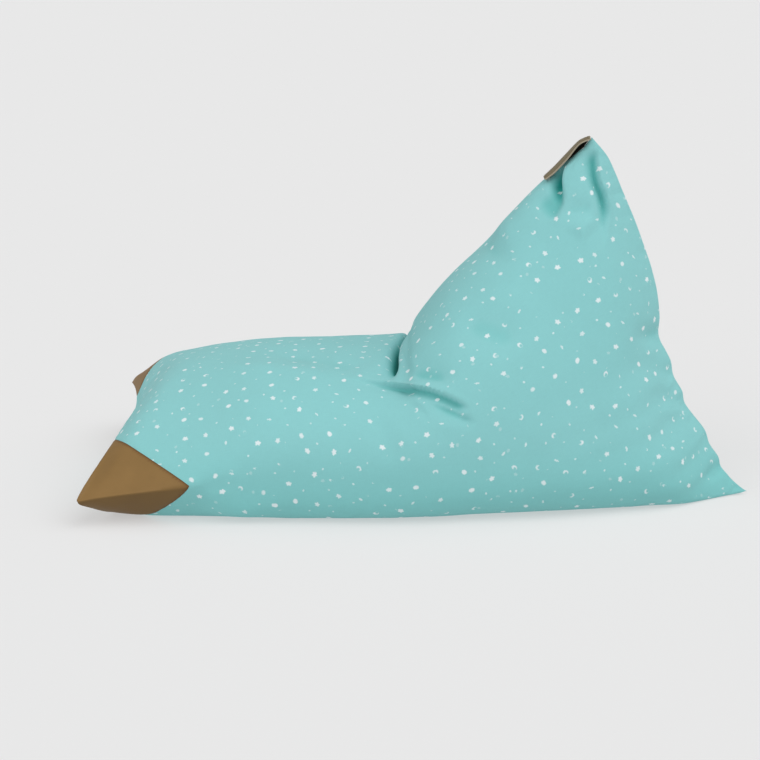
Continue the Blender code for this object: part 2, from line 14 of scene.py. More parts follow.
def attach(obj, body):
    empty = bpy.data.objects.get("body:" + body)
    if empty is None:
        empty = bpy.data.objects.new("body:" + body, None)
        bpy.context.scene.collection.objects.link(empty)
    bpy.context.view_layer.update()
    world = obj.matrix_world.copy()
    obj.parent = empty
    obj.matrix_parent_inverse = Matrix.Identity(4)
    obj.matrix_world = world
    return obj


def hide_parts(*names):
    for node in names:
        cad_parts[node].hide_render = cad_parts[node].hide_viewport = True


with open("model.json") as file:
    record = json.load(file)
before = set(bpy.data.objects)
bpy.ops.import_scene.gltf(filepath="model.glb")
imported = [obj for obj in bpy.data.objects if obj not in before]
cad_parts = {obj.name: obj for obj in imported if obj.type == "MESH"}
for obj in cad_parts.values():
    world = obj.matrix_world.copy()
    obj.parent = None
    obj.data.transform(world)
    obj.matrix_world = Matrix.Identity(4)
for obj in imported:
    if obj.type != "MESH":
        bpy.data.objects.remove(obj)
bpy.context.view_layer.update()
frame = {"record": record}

bl_info = {
    "name": "Lounger pouf",
    "version": (1, 0, 0),
    "blender": (4, 5, 0),
    "location": "3D View > Sidebar > Pouf",
    "description": "Builds the cover, corner caps, handle, stitches and studio of a lounger pouf",
    "category": "Object",
}

SLOT_COLOURS = {m["slot"]: m["base_color"][:3] for m in frame["record"]["materials"]}

# The tables below place the middle of the foot-to-back length here along X
PLACE = (0.606, 0.0, 0.0)

# Mesh fineness
ROUND_POINTS = 316
ALONG_ROWS = 290
LEAST_FOLD_WIDTH = 0.0036
QUARTER_POINTS = 121  # of a quarter section, before it is cut into even parts

# The first, coarse sweep, which only measures how far apart the sections are
MEASURED_ROWS = 300
MEASURED_POINTS = 40

# Where rows gather, as place, spread and how many more; and where a section's points gather, at the seat's
# shoulders and at the peak's ridge, as amount, place and spread. Places are shares of the length.
ROW_GATHER = [(0.53, 0.08, 2.2), (0.92, 0.07, 1.2)]
SHOULDER_GATHER = (0.62, 0.52, 0.16)
RIDGE_GATHER = (0.50, 0.92, 0.12)

# The gap between two pieces, and the height over which the cloth curves onto the floor
PIECE_GAP = 0.00034
FLOOR_BLEND = 0.012

# The coarse grid on which the cloth is laid flat for its print
FLAT_ROWS = 73
FLAT_POINTS = 80

# The shape across a fold, in widths of its upper or lower side
TROUGH_POWER = 1.7
LIP_PLACE, LIP_SPREAD = 1.7, 0.8
LEAN_PLACE, LEAN_INNER, LEAN_OUTER = 1.5, 0.8, 1.8
FOLD_REACH = 5.0

# A fold's path, and how the fold dies away off it
PATH_STEPS = 8  # to each leg of the path
EVENED_STEPS = 7  # over which its way out of the cloth is evened
TURN_FADE = 1.6  # where the cloth turns away from it
DEPTH_FADE = 0.05  # above and below it

# The depths at which painted shade starts to darken the colour in a crease, and does so fully; full counts
# as 1
FIRST_CREASE = 0.005
FULL_CREASE = 0.022
DEEPEST_CREASE = 2.0

# The caps' seams: how deep the cloth is drawn in, how far that reaches, and how far their dark line does
CAP_GROOVE = 0.0012
CAP_GROOVE_REACH = 0.0030
CAP_LINE_REACH = 0.0022

# The puckers along the two end seams: waves as length, height and phase
PUCKER_WAVES = [(0.0145, 0.45, 0.3), (0.0230, 0.60, 1.7), (0.0370, 0.75, 4.1), (0.0610, 0.55, 2.6)]
PUCKER_HEIGHT = 1.6  # of their sum, about
CALM_SHARE, CALM_REACH = 0.92, 0.03  # what a cap takes away from them, and over what distance
SIDES_APART = 0.07  # how far the two sides' waves are shifted against each other
UNEVEN_REACH = 0.6  # share by which their reach from the seam varies
LEAST_REACH = 0.006
FLAT_STRIP = 0.005  # next to the seam

# The loose filling's unevenness: density and height of its waves, and the strip at the foot that stays flat
SOFT_WAVES = [(7.0, 0.0020), (17.0, 0.0009), (38.0, 0.0003)]
SOFT_START = 0.06

# How strongly the print's motifs show, from the weakest to the strongest
LARGE_STRENGTH = (0.58, 0.80)
SMALL_STRENGTH = (0.26, 0.56)
FAINT_STRENGTH = 0.20

# The height up to which the cloth is tinted by the floor's shade
FLOOR_SHADE_HEIGHT = 0.17

# The strap, with its clearance over the cloth, its bend across the ridge and its mesh's steps
STRAP_WIDTH = 0.040
STRAP_THICK = 0.0034
STRAP_CLEAR = 0.0014
STRAP_BEND = 0.0022
STRAP_STEPS = 66
STRAP_ACROSS = 16
EDGE_POWER, EDGE_LEAST = 16, 0.10  # how its thickness rounds off to its edges

# The search for the cloth under the strap, and the height taken where there is none
SEARCH_START = 0.08
SEARCH_DEPTH = 0.16
NO_CLOTH = -0.02

# The strap's lining, a sheet under the strap whose near-black colour is painted shadow in the gap
LINING_START = 0.36  # share of the strap's length
LINING_FROM = 14  # point across the strap that it hangs from
LINING_POINTS = 5
LINING_THICK = 0.0007
LINING_SAG = 0.0008
LINING_CLEAR = 0.0014

# The strap's sewing: lines along its edges and a box at each end, placed by shares of the strap's length
SEWING_INSET = 0.0035
SEWING_ENDS = (0.03, 0.97)
BOX_INSET = 0.004  # from the lines
SEWING_BOXES = ((0.03, 0.17), (0.83, 0.97))
LINE_POINTS = 60
SIDE_POINTS = 12

# The strap's materials by number
STRAP_FACE, STRAP_CUT_EDGE, STRAP_SHADOW_LINING = range(3)

# The studio: the floor, and the lights as name, azimuth and elevation, with angles in degrees
FLOOR_HALF = 60.0
FLOOR_DROP = 0.0005  # below the pouf
LIGHTS = [("left_light", -45.0, 28.0), ("front_light", 45.0, 55.0), ("right_light", 90.0, 55.0)]
LIGHT_SPREAD = 60.0
LIGHT_DISTANCE = 3.0

# The camera, with its lens and sensor in millimetres and its angles in degrees
CAMERA_TARGET = (-0.077, 0.0, 0.192)
CAMERA_DISTANCE = 4.0
CAMERA_AZIMUTH = 3.6
CAMERA_ELEVATION = 14.0
CAMERA_LENS = 101.4
CAMERA_SENSOR = 36.0
CAMERA_FAR_END = 200.0

# The bag as sections from the foot seam (t = 0) to the back seam (t = 1). Every section goes through a top
# point and a bottom point of the middle plane, is half_width wide each way and widest at the belly share.
# The powers make it boxy below 1 and pinched above 1: side_pow at top and bottom, crown and foot_pow at the
# sides, above and below the belly. The sweep draws the sides towards the feet. near_z and far_z are the
# heights of the two widest points. The bow is the share of the back seam's own curve that the section takes.
# The powers under the columns say how the near and far sweep, and the two heights, grow outwards.
SECTION_COLUMNS = (
    "t", "top_x", "top_z", "bot_x", "bot_y", "bot_z", "half_width", "belly",
    "side_pow", "crown_near", "crown_far", "foot_pow", "sweep_near", "sweep_far", "near_z", "far_z", "bow")
SWEEP_POWERS = (2.5, 1.4)
SIDE_POWER = 2.5
SECTION_ROWS = [
    (0, -1.1486, 0.124, -1.138, 0, 0.118, 0.335, 0.5,
     1, 0.5, 0.5, 0.5, 0.0494, 0.0677, 0.048, 0.094, 0),
    (0.03, -1.128, 0.156, -1.126, 0, -0.017, 0.335, 0.686,
     1.02, 1.85, 0.66, 1.49, 0.0615, 0.069, 0.0488, 0.089, 0),
    (0.08, -1.087, 0.201, -1.108, 0, -0.046, 0.332, 0.606,
     1, 2.18, 0.97, 1.52, 0.0638, 0.058, 0.0545, 0.107, 0),
    (0.16, -1.014, 0.2315, -1.052, 0, -0.104, 0.323, 0.566,
     0.98, 2, 0.925, 1.71, 0.031, 0.0325, 0.0665, 0.0935, 0),
    (0.21, -0.965, 0.2403, -1.003, 0, -0.098, 0.315, 0.53,
     0.93, 1.6, 0.89, 1.52, 0.013, 0.02, 0.0746, 0.0953, 0),
    (0.27, -0.905, 0.2485, -0.945, 0, -0.0225, 0.307, 0.42,
     0.87, 1.15, 0.81, 0.53, 0.006, 0.01, 0.08, 0.0884, 0),
    (0.4, -0.78, 0.2568, -0.82, 0, -0.038, 0.3, 0.41,
     0.82, 0.94, 0.915, 0.53, 0, 0, 0.0877, 0.0877, 0),
    (0.5, -0.632, 0.2689, -0.7, 0, -0.03, 0.296, 0.4,
     0.84, 0.9, 0.83, 0.55, -0.02, -0.02, 0.0848, 0.0848, 0),
    (0.57, -0.618, 0.304, -0.59, 0, -0.03, 0.2905, 0.39,
     0.88, 0.92, 0.92, 0.51, -0.02, -0.02, 0.0991, 0.0991, 0.02),
    (0.66, -0.562, 0.3815, -0.455, 0, -0.03, 0.2705, 0.36,
     0.93, 0.95, 0.95, 0.51, -0.01, -0.01, 0.1194, 0.1194, 0.08),
    (0.76, -0.4935, 0.4515, -0.31, -0.012, -0.03, 0.2385, 0.32,
     0.98, 1, 1, 0.55, 0, 0, 0.1271, 0.1271, 0.22),
    (0.86, -0.434, 0.5225, -0.18, -0.036, -0.028, 0.178, 0.3,
     1.04, 1.02, 1.02, 0.58, 0, 0, 0.1424, 0.1424, 0.45),
    (0.94, -0.351, 0.603, -0.075, -0.058, -0.02, 0.106, 0.3,
     1, 1.02, 1.02, 0.6, 0, 0, 0.1669, 0.1669, 0.8),
    (1, -0.3, 0.65, -0.001, -0.057, 0.004, 0.003, 0.34,
     0.6, 1, 1, 1, 0, 0, 0.2236, 0.2236, 1),
]

# The back seam between its two ends: height share, how far the seam stands out from a straight line
SEAM_ROWS = [
    (0.00, 0.000), (0.03, -0.015), (0.07, -0.026), (0.10, -0.024), (0.14, -0.030), (0.17, -0.028),
    (0.25, -0.042), (0.29, -0.037), (0.32, -0.041), (0.37, -0.034), (0.43, -0.037), (0.50, -0.020),
    (0.58, -0.003), (0.64, 0.005), (0.70, 0.009), (0.77, 0.0125), (0.84, 0.014), (0.90, 0.0145),
    (0.95, 0.0125), (1.00, 0.000),
]

# Folds, one by one: trough depth, its width on the upper and lower side, the lip along the upper side, how
# far that lip leans over the trough, the shares of the length over which it fades in and out, and the path.
# Upper is to the left of the path when seen from outside and walking along it.
FOLD_COLUMNS = ("name", "depth", "up", "down", "lip", "lean", "fade_in", "fade_out", "path")
FOLD_ROWS = [
    ("seat_valley", 0.024, 0.006, 0.007, 0.002, 0.004, 0.20, 0.24,
     [(-0.622, 0.262, 0.180), (-0.628, 0.215, 0.225), (-0.634, 0.130, 0.256), (-0.640, 0.033, 0.266),
      (-0.641, -0.046, 0.265), (-0.643, -0.111, 0.257), (-0.646, -0.156, 0.246)]),
    ("valley_gap", 0.066, 0.008, 0.013, 0.002, 0.016, 0.36, 0.72,
     [(-0.638, 0.080, 0.264), (-0.638, 0.030, 0.266), (-0.639, -0.012, 0.266), (-0.640, -0.046, 0.265),
      (-0.642, -0.082, 0.262), (-0.644, -0.111, 0.257), (-0.648, -0.137, 0.251), (-0.652, -0.168, 0.242),
      (-0.654, -0.182, 0.237)]),
    ("near_crease", 0.014, 0.0035, 0.017, 0.006, 0.003, 0.45, 0.12,
     [(-0.744, -0.172, 0.237), (-0.711, -0.177, 0.235), (-0.680, -0.184, 0.233), (-0.653, -0.190, 0.232),
      (-0.631, -0.200, 0.232), (-0.607, -0.225, 0.236), (-0.585, -0.237, 0.235), (-0.566, -0.246, 0.231),
      (-0.546, -0.252, 0.224), (-0.527, -0.256, 0.216), (-0.509, -0.258, 0.208)]),
    ("near_crease_low", 0.008, 0.0035, 0.012, 0.003, 0.001, 0.50, 0.25,
     [(-0.597, -0.246, 0.219), (-0.579, -0.254, 0.215), (-0.562, -0.259, 0.211), (-0.544, -0.262, 0.204),
      (-0.527, -0.263, 0.197), (-0.509, -0.263, 0.190), (-0.495, -0.262, 0.185)]),
    ("near_dent", 0.004, 0.005, 0.009, 0.001, 0.000, 0.40, 0.40,
     [(-0.624, -0.232, 0.215), (-0.608, -0.249, 0.210), (-0.590, -0.261, 0.202), (-0.579, -0.266, 0.195)]),
    ("near_slack", 0.0035, 0.018, 0.022, 0.001, 0.000, 0.40, 0.45,
     [(-0.684, -0.225, 0.205), (-0.668, -0.262, 0.175), (-0.646, -0.283, 0.135), (-0.632, -0.289, 0.100)]),
    ("cheek_shade", 0.010, 0.022, 0.011, 0.000, 0.000, 0.35, 0.45,
     [(-0.634, -0.158, 0.249), (-0.607, -0.202, 0.256), (-0.581, -0.221, 0.257), (-0.556, -0.233, 0.254),
      (-0.531, -0.242, 0.246)]),
    ("seat_ridge", -0.005, 0.050, 0.040, 0.000, 0.000, 0.35, 0.35,
     [(-1.037, -0.060, 0.236), (-0.935, -0.100, 0.246), (-0.820, -0.140, 0.244), (-0.735, -0.165, 0.236)]),
    ("seat_slack", 0.007, 0.050, 0.040, 0.000, 0.000, 0.40, 0.25,
     [(-0.930, 0.000, 0.250), (-0.840, -0.060, 0.254), (-0.760, -0.110, 0.248), (-0.700, -0.150, 0.238)]),
    ("back_soft", 0.008, 0.040, 0.035, 0.002, 0.000, 0.40, 0.40,
     [(-0.530, -0.150, 0.340), (-0.500, -0.170, 0.330), (-0.450, -0.185, 0.315), (-0.400, -0.188, 0.295)]),
    ("back_edge", 0.007, 0.022, 0.030, 0.002, 0.000, 0.30, 0.50,
     [(-0.485, 0.030, 0.460), (-0.478, -0.025, 0.455), (-0.455, -0.080, 0.435), (-0.425, -0.110, 0.410)]),
    ("handle_tuck", 0.008, 0.004, 0.004, 0.000, 0.000, 0.20, 0.50,
     [(-0.363, -0.010, 0.588), (-0.356, -0.009, 0.596), (-0.348, -0.009, 0.603), (-0.338, -0.008, 0.612)]),
    ("handle_press", 0.0040, 0.014, 0.014, 0.000, 0.000, 0.30, 0.20,
     [(-0.352, 0.001, 0.602), (-0.337, 0.001, 0.615), (-0.322, 0.001, 0.629), (-0.305, 0.001, 0.643)]),
    ("peak_pit", 0.034, 0.008, 0.014, 0.002, 0.004, 0.08, 0.80,
     [(-0.356, -0.006, 0.599), (-0.360, -0.018, 0.588), (-0.361, -0.027, 0.576), (-0.360, -0.038, 0.564),
      (-0.357, -0.049, 0.548), (-0.356, -0.061, 0.530), (-0.356, -0.072, 0.514)]),
    ("peak_shade", 0.011, 0.022, 0.020, 0.000, 0.000, 0.35, 0.35,
     [(-0.390, -0.022, 0.556), (-0.381, -0.046, 0.538), (-0.368, -0.061, 0.525), (-0.352, -0.068, 0.521)]),
    ("peak_level", 0.006, 0.022, 0.018, 0.000, 0.000, 0.35, 0.30,
     [(-0.356, -0.059, 0.533), (-0.334, -0.066, 0.529), (-0.311, -0.066, 0.530), (-0.290, -0.059, 0.532)]),
    ("peak_swell", -0.006, 0.016, 0.022, 0.000, 0.000, 0.35, 0.35,
     [(-0.338, -0.090, 0.485), (-0.323, -0.083, 0.498), (-0.306, -0.079, 0.503), (-0.291, -0.079, 0.494)]),
    ("peak_fold", 0.016, 0.005, 0.022, 0.005, 0.006, 0.20, 0.45,
     [(-0.293, -0.008, 0.630), (-0.292, -0.012, 0.622), (-0.291, -0.020, 0.606), (-0.288, -0.029, 0.587),
      (-0.282, -0.035, 0.570), (-0.274, -0.038, 0.556), (-0.270, -0.044, 0.539), (-0.270, -0.053, 0.522),
      (-0.275, -0.067, 0.503), (-0.280, -0.082, 0.480), (-0.282, -0.095, 0.457)]),
    ("seam_tuck_1", 0.0075, 0.018, 0.016, 0.004, 0.000, 0.24, 0.65,
     [(-0.160, -0.018, 0.296), (-0.185, -0.058, 0.300), (-0.215, -0.093, 0.303), (-0.250, -0.125, 0.303)]),
    ("seam_tuck_2", 0.0060, 0.014, 0.014, 0.003, 0.000, 0.24, 0.65,
     [(-0.135, -0.025, 0.226), (-0.160, -0.058, 0.231), (-0.190, -0.090, 0.236), (-0.222, -0.124, 0.237)]),
    ("seam_tuck_3", 0.0053, 0.013, 0.013, 0.003, 0.000, 0.24, 0.65,
     [(-0.108, -0.032, 0.172), (-0.135, -0.062, 0.178), (-0.165, -0.092, 0.184), (-0.196, -0.122, 0.185)]),
    ("tail_tuck", 0.006, 0.012, 0.014, 0.002, 0.000, 0.20, 0.50,
     [(-0.045, -0.052, 0.062), (-0.062, -0.064, 0.050), (-0.082, -0.080, 0.042), (-0.110, -0.100, 0.036)]),
    ("cap_crease", 0.003, 0.014, 0.016, 0.000, 0.000, 0.40, 0.60,
     [(-0.999, -0.310, 0.074), (-0.953, -0.306, 0.076), (-0.905, -0.303, 0.076)]),
    ("far_crease", 0.026, 0.012, 0.018, 0.006, 0.008, 0.18, 0.40,
     [(-0.480, 0.255, 0.185), (-0.520, 0.256, 0.200), (-0.560, 0.250, 0.212), (-0.600, 0.236, 0.222),
      (-0.640, 0.215, 0.228), (-0.690, 0.195, 0.230)]),
    ("far_crease_low", 0.008, 0.014, 0.016, 0.003, 0.000, 0.30, 0.40,
     [(-0.500, 0.262, 0.165), (-0.545, 0.266, 0.180), (-0.595, 0.262, 0.192)]),
    ("far_soft", 0.007, 0.040, 0.035, 0.002, 0.000, 0.40, 0.40,
     [(-0.380, 0.190, 0.290), (-0.440, 0.188, 0.312), (-0.510, 0.160, 0.338)]),
    ("far_peak_fold", 0.015, 0.014, 0.018, 0.005, 0.000, 0.25, 0.50,
     [(-0.300, 0.012, 0.612), (-0.300, 0.030, 0.575), (-0.296, 0.050, 0.530), (-0.300, 0.074, 0.475)]),
    ("far_seam_tuck", 0.010, 0.018, 0.016, 0.004, 0.000, 0.24, 0.65,
     [(-0.150, 0.000, 0.262), (-0.180, 0.045, 0.266), (-0.215, 0.085, 0.270), (-0.255, 0.120, 0.272)]),
    ("far_seam_tuck_low", 0.008, 0.015, 0.015, 0.003, 0.000, 0.24, 0.65,
     [(-0.112, -0.008, 0.160), (-0.145, 0.035, 0.166), (-0.180, 0.075, 0.170)]),
    ("foot_tuck_1", 0.003, 0.016, 0.018, 0.001, 0.000, 0.35, 0.60,
     [(-1.136, -0.110, 0.132), (-1.115, -0.104, 0.170), (-1.080, -0.096, 0.208)]),
    ("foot_tuck_2", 0.003, 0.016, 0.018, 0.001, 0.000, 0.35, 0.60,
     [(-1.134, 0.075, 0.135), (-1.112, 0.080, 0.178), (-1.075, 0.088, 0.214)]),
]

# The handle's ends along the front ridge of the back, as x and z
STRAP_LOW = (-0.384, 0.576)
STRAP_TOP = (-0.303, 0.650)

# At shares of the handle's length: its lift off the ridge, and how far its near edge hangs down. The power
# says how that grows from the middle line to the edge.
STRAP_LIFT = [(0.00, 0.0002), (0.15, 0.0003), (0.30, 0.0010), (0.45, 0.0028), (0.60, 0.0046),
              (0.72, 0.0060), (0.81, 0.0066), (0.90, 0.0046), (1.00, 0.0006)]
STRAP_DROOP = [(0.00, 0.0004), (0.16, 0.0025), (0.35, 0.0028), (0.53, 0.0024), (0.64, 0.0010),
               (0.72, 0.0000), (1.00, 0.0000)]
DROOP_POWER = 1.5

# Each cap's seam joins a point of the foot seam to a point of the side. From that line the cap's end face
# leans towards the corner, by the two slopes, above and below.
CAP_NEAR = ((-1.155, -0.165, 0.112), (-0.997, -0.315, 0.0744), 1.00, 0.25)
CAP_FAR = ((-1.165, 0.122, 0.122), (-1.015, 0.317, 0.093), 0.75, 0.25)

# The caps as piece, node that it replaces, seam and side
CAPS = (("cap_near", "corner_near", CAP_NEAR, -1), ("cap_far", "corner_far", CAP_FAR, 1))


def read_table(rows, at):
    """The rows' columns at the given first-column values, by a smooth curve through every row."""
    table = np.array(rows, float)
    key, val = table[:, 0], table[:, 1:]
    span = (key[1:] - key[:-1])[:, None]
    rise = (val[1:] - val[:-1]) / span
    slope = np.empty_like(val)
    slope[0], slope[-1] = rise[0], rise[-1]
    slope[1:-1] = (rise[:-1] * span[1:] + rise[1:] * span[:-1]) / (span[:-1] + span[1:])
    at = np.asarray(at, float)
    i = np.clip(np.searchsorted(key, at, side="right") - 1, 0, len(key) - 2)
    h = span[i]
    s = (at - key[i])[:, None] / h
    return ((2 * s**3 - 3 * s**2 + 1) * val[i] + (s**3 - 2 * s**2 + s) * h * slope[i]
            + (3 * s**2 - 2 * s**3) * val[i + 1] + (s**3 - s**2) * h * slope[i + 1])


def section_curve(row, phi):
    """Points of one section at the angles phi: -90 degrees is the bottom, 0 the far side, 90 the top."""
    c = dict(zip(SECTION_COLUMNS[1:], row))
    top = np.array([c["top_x"], 0.0, c["top_z"]])
    bot = np.array([c["bot_x"], c["bot_y"], c["bot_z"]])
    cos, sin = np.cos(phi), np.sin(phi)
    above, near = sin >= 0, cos < 0
    reach = np.where(above, 1 - c["belly"], c["belly"])
    power = np.where(above, np.where(near, c["crown_near"], c["crown_far"]), c["foot_pow"])
    share = c["belly"] + reach * np.sign(sin) * np.abs(sin) ** power
    points = bot + share[:, None] * (top - bot)
    powers = np.where(near, *SWEEP_POWERS)
    points[:, 0] -= np.where(near, c["sweep_near"], c["sweep_far"]) * np.abs(cos) ** powers
    points[:, 0] += c["bow"] * read_table(SEAM_ROWS, np.clip(share, 0, 1))[:, 0]
    points[:, 1] += c["half_width"] * np.sign(cos) * np.abs(cos) ** c["side_pow"]
    level = c["bot_z"] + c["belly"] * (c["top_z"] - c["bot_z"])
    points[:, 2] += (np.where(near, c["near_z"], c["far_z"]) - level) * np.abs(cos) ** SIDE_POWER
    return points


def cut_curve(curve, shares):
    """The curve's points at the given shares of its length."""
    length = np.concatenate([[0.0], np.cumsum(np.linalg.norm(np.diff(curve, axis=0), axis=1))])
    return np.stack([np.interp(shares * length[-1], length, curve[:, k]) for k in range(3)], 1)


def section_ring(t, row, count):
    """One section as a ring: bottom, far side, top, near side, with points gathered where the folds are."""
    shoulder, ridge = (amount * math.exp(-((t - place) / spread) ** 2)
                       for amount, place, spread in (SHOULDER_GATHER, RIDGE_GATHER))
    even = np.linspace(0.0, 1.0, count // 4 + 1)
    down = even + shoulder * np.sin(2 * math.pi * even) / (2 * math.pi)
    down -= ridge * np.sin(math.pi * even) / math.pi
    shares = (even, 1 - down[::-1], down, even)
    quarters = []
    for k in range(4):
        phi = np.linspace(k - 1, k, QUARTER_POINTS) * math.pi / 2
        quarters.append(cut_curve(section_curve(row, phi), shares[k])[:-1])
    return np.concatenate(quarters)


def smooth_bag(rows_along, points_round):
    """The bag without folds: rings spaced evenly along the cloth, as an array of row, point, xyz."""
    fine = np.linspace(0, 1, MEASURED_ROWS)
    rings = np.array([section_ring(t, row, MEASURED_POINTS)
                      for t, row in zip(fine, read_table(SECTION_ROWS, fine))])
    step = np.sqrt((np.linalg.norm(np.diff(rings, axis=0), axis=2) ** 2).mean(1))
    middle = (fine[1:] + fine[:-1]) / 2
    for where, spread, more in ROW_GATHER:
        step *= 1 + more * np.exp(-((middle - where) / spread) ** 2)
    length = np.concatenate([[0.0], np.cumsum(step)])
    at = np.interp(np.linspace(0, length[-1], rows_along), length, fine)
    return np.array([section_ring(t, row, points_round)
                     for t, row in zip(at, read_table(SECTION_ROWS, at))])


def ring_normals(grid):
    """Outward unit normals of the rings' points."""
    along = np.gradient(grid, axis=0)
    around = np.roll(grid, -1, 1) - np.roll(grid, 1, 1)
    normal = np.cross(along, around)
    size = np.linalg.norm(normal, axis=2, keepdims=True)
    normal /= np.maximum(size, 1e-12)
    outward = grid - grid.mean(1, keepdims=True)
    if (normal * outward).sum() < 0:
        normal = -normal
    return normal


def fade(x):
    """0 at 0, 1 from 1 on, smooth between."""
    x = np.clip(x, 0, 1)
    return x * x * (3 - 2 * x)


def nearest_on_path(points, path):
    """For each point the nearest leg of the path, how far along the leg it is nearest, and that place."""
    start, leg = path[:-1], path[1:] - path[:-1]
    share = np.clip(((points[:, None] - start) * leg).sum(2) / (leg ** 2).sum(1), 0, 1)
    near = start + share[:, :, None] * leg
    which = np.linalg.norm(points[:, None] - near, axis=2).argmin(1)
    pick = np.arange(len(points))
    return which, share[pick, which], near[pick, which]


def ways_out(points, normals, path):
    """The way out of the cloth at each place of the path, evened out along it."""
    face = normals[np.linalg.norm(points[None] - path[:, None], axis=2).argmin(1)]
    padded = np.pad(face, ((EVENED_STEPS // 2,) * 2, (0, 0)), mode="edge")
    evener = np.ones(EVENED_STEPS) / EVENED_STEPS
    face = np.stack([np.convolve(padded[:, k], evener, "valid") for k in range(3)], 1)
    return face / np.linalg.norm(face, axis=1, keepdims=True)


def fold_shift(points, normals, fold):
    """How one fold of the table moves the points of the smooth bag."""
    f = dict(zip(FOLD_COLUMNS, fold))
    f["depth"] *= math.sqrt(min(1.0, (f["up"] + f["down"]) / (2 * LEAST_FOLD_WIDTH)))
    f["up"] = max(f["up"], LEAST_FOLD_WIDTH)
    f["down"] = max(f["down"], LEAST_FOLD_WIDTH)
    knots = [(i,) + tuple(p) for i, p in enumerate(f["path"])]
    path = read_table(knots, np.linspace(0, len(knots) - 1, PATH_STEPS * (len(knots) - 1) + 1))
    shift = np.zeros_like(points)
    reach = FOLD_REACH * max(f["up"], f["down"])
    low, high = path.min(0) - reach, path.max(0) + reach
    inside = np.where(((points > low) & (points < high)).all(1))[0]
    if len(inside) == 0:
        return shift
    p, n = points[inside], normals[inside]
    which, share, foot = nearest_on_path(p, path)
    leg = path[1:] - path[:-1]
    along = (which + share) / len(leg)
    face = ways_out(p, n, path)[which]
    run = leg[which] / np.linalg.norm(leg[which], axis=1, keepdims=True)
    across = np.cross(face, run)
    across /= np.linalg.norm(across, axis=1, keepdims=True)
    offset = p - foot
    depth_off = (offset * n).sum(1)
    flat = offset - depth_off[:, None] * n
    side = (flat * across).sum(1)
    width = np.where(side > 0, f["up"], f["down"])
    x = np.sign(side) * np.linalg.norm(flat, axis=1) / width
    weight = fade(along / f["fade_in"]) * fade((1 - along) / f["fade_out"])
    weight *= fade(TURN_FADE * (n * face).sum(1)) * np.exp(-(depth_off / DEPTH_FADE) ** 2)
    trough = f["depth"] * np.exp(-np.abs(x) ** TROUGH_POWER)
    lip = np.where(x > 0, f["lip"] * np.exp(-((x - LIP_PLACE) / LIP_SPREAD) ** 2), 0.0)
    spread = np.where(x > LEAN_PLACE, LEAN_OUTER, LEAN_INNER)
    lean = np.where(x > 0, f["lean"] * np.exp(-((x - LEAN_PLACE) / spread) ** 2), 0.0)
    shift[inside] = (weight * (lip - trough))[:, None] * n - (weight * lean)[:, None] * across
    return shift


def rest_on_floor(z):
    """Heights after the cloth settles on the floor: flat below it, with a short rounded run-up."""
    r = FLOOR_BLEND
    return np.where(z <= -r, 0.0, np.where(z >= r, z, (z + r) ** 2 / (4 * r)))


def even_out(grid):
    """Moves every point halfway to the middle of its neighbours; the two end rows stay."""
    neighbours = (np.roll(grid, 1, 1) + np.roll(grid, -1, 1))[1:-1] + grid[2:] + grid[:-2]
    grid[1:-1] = 0.5 * grid[1:-1] + 0.125 * neighbours
    return grid


def column_lengths(grid):
    """How far along the cloth each point lies from the foot seam, column by column."""
    step = np.linalg.norm(np.diff(grid, axis=0), axis=2)
    return np.concatenate([np.zeros((1, grid.shape[1])), np.cumsum(step, axis=0)])


def round_lengths(grid):
    """How far round from the top line each point lies, with the first one repeated at the end."""
    closed = np.concatenate([grid, grid[:, :1]], axis=1)
    step = np.linalg.norm(np.diff(closed, axis=1), axis=2)
    length = np.concatenate([np.zeros((len(grid), 1)), np.cumsum(step, axis=1)], axis=1)
    return length - length[:, grid.shape[1] // 2, None]


def pucker(at):
    """The small waves that sewing leaves along a seam, about -1 to 1, at distances along it."""
    total = sum(height * np.sin(2 * math.pi * at / wave + phase) for wave, height, phase in PUCKER_WAVES)
    return total / PUCKER_HEIGHT


def seam_puckers(grid, depth, reach):
    """How far the waves of the two end seams lift each point."""
    along, around = column_lengths(grid), round_lengths(grid)[:, :-1]
    lift = np.zeros(grid.shape[:2])
    for row, distance, shift in ((0, along, 0.0), (-1, along[-1] - along, 1.0)):
        calm = np.ones(grid.shape[1])
        if row == 0:
            for _, _, cap, side in CAPS:
                calm *= 1 - CALM_SHARE * fade(side * (grid[0, :, 1] - cap[0][1]) / CALM_REACH + 0.4)
        at = np.abs(around[row]) + shift + SIDES_APART * np.sign(around[row])
        length = reach * (1.0 + UNEVEN_REACH * pucker(3.1 * at + 0.4))
        waves = depth * calm * pucker(at) * fade(distance / FLAT_STRIP)
        lift += waves * np.exp(-distance / np.maximum(length, LEAST_REACH))
    return lift


def soft_waves(points):
    """The gentle unevenness of loose filling under cloth."""
    lift = np.zeros(len(points))
    for density, height in SOFT_WAVES:
        lift += [height * noise.noise(Vector(p) * density) for p in points]
    return lift


@functools.lru_cache(maxsize=1)
def cover_grid():
    """The finished cover as rows of points, and how deep in a crease each lies, for painted shade; a full
    crease is 1.
    """
    smooth = smooth_bag(ALONG_ROWS, ROUND_POINTS)
    points = smooth.reshape(-1, 3)
    normals = ring_normals(smooth).reshape(-1, 3)
    moved = points.copy()
    for fold in FOLD_ROWS:
        moved += fold_shift(points, normals, fold)
    sunk = ((points - moved) * normals).sum(1).reshape(smooth.shape[:2])
    settings = bpy.context.scene.pouf
    lift = settings.softness * soft_waves(points) * fade(column_lengths(smooth).ravel() / SOFT_START)
    lift += seam_puckers(smooth, settings.pucker_depth, settings.pucker_reach).ravel()
    moved += lift[:, None] * normals
    moved[:, 2] = rest_on_floor(moved[:, 2])
    grid = even_out(moved.reshape(smooth.shape))
    grid[:, :, 2] = np.maximum(grid[:, :, 2], 0.0)
    return grid, np.clip((sunk - FIRST_CREASE) / (FULL_CREASE - FIRST_CREASE), 0.0, DEEPEST_CREASE)


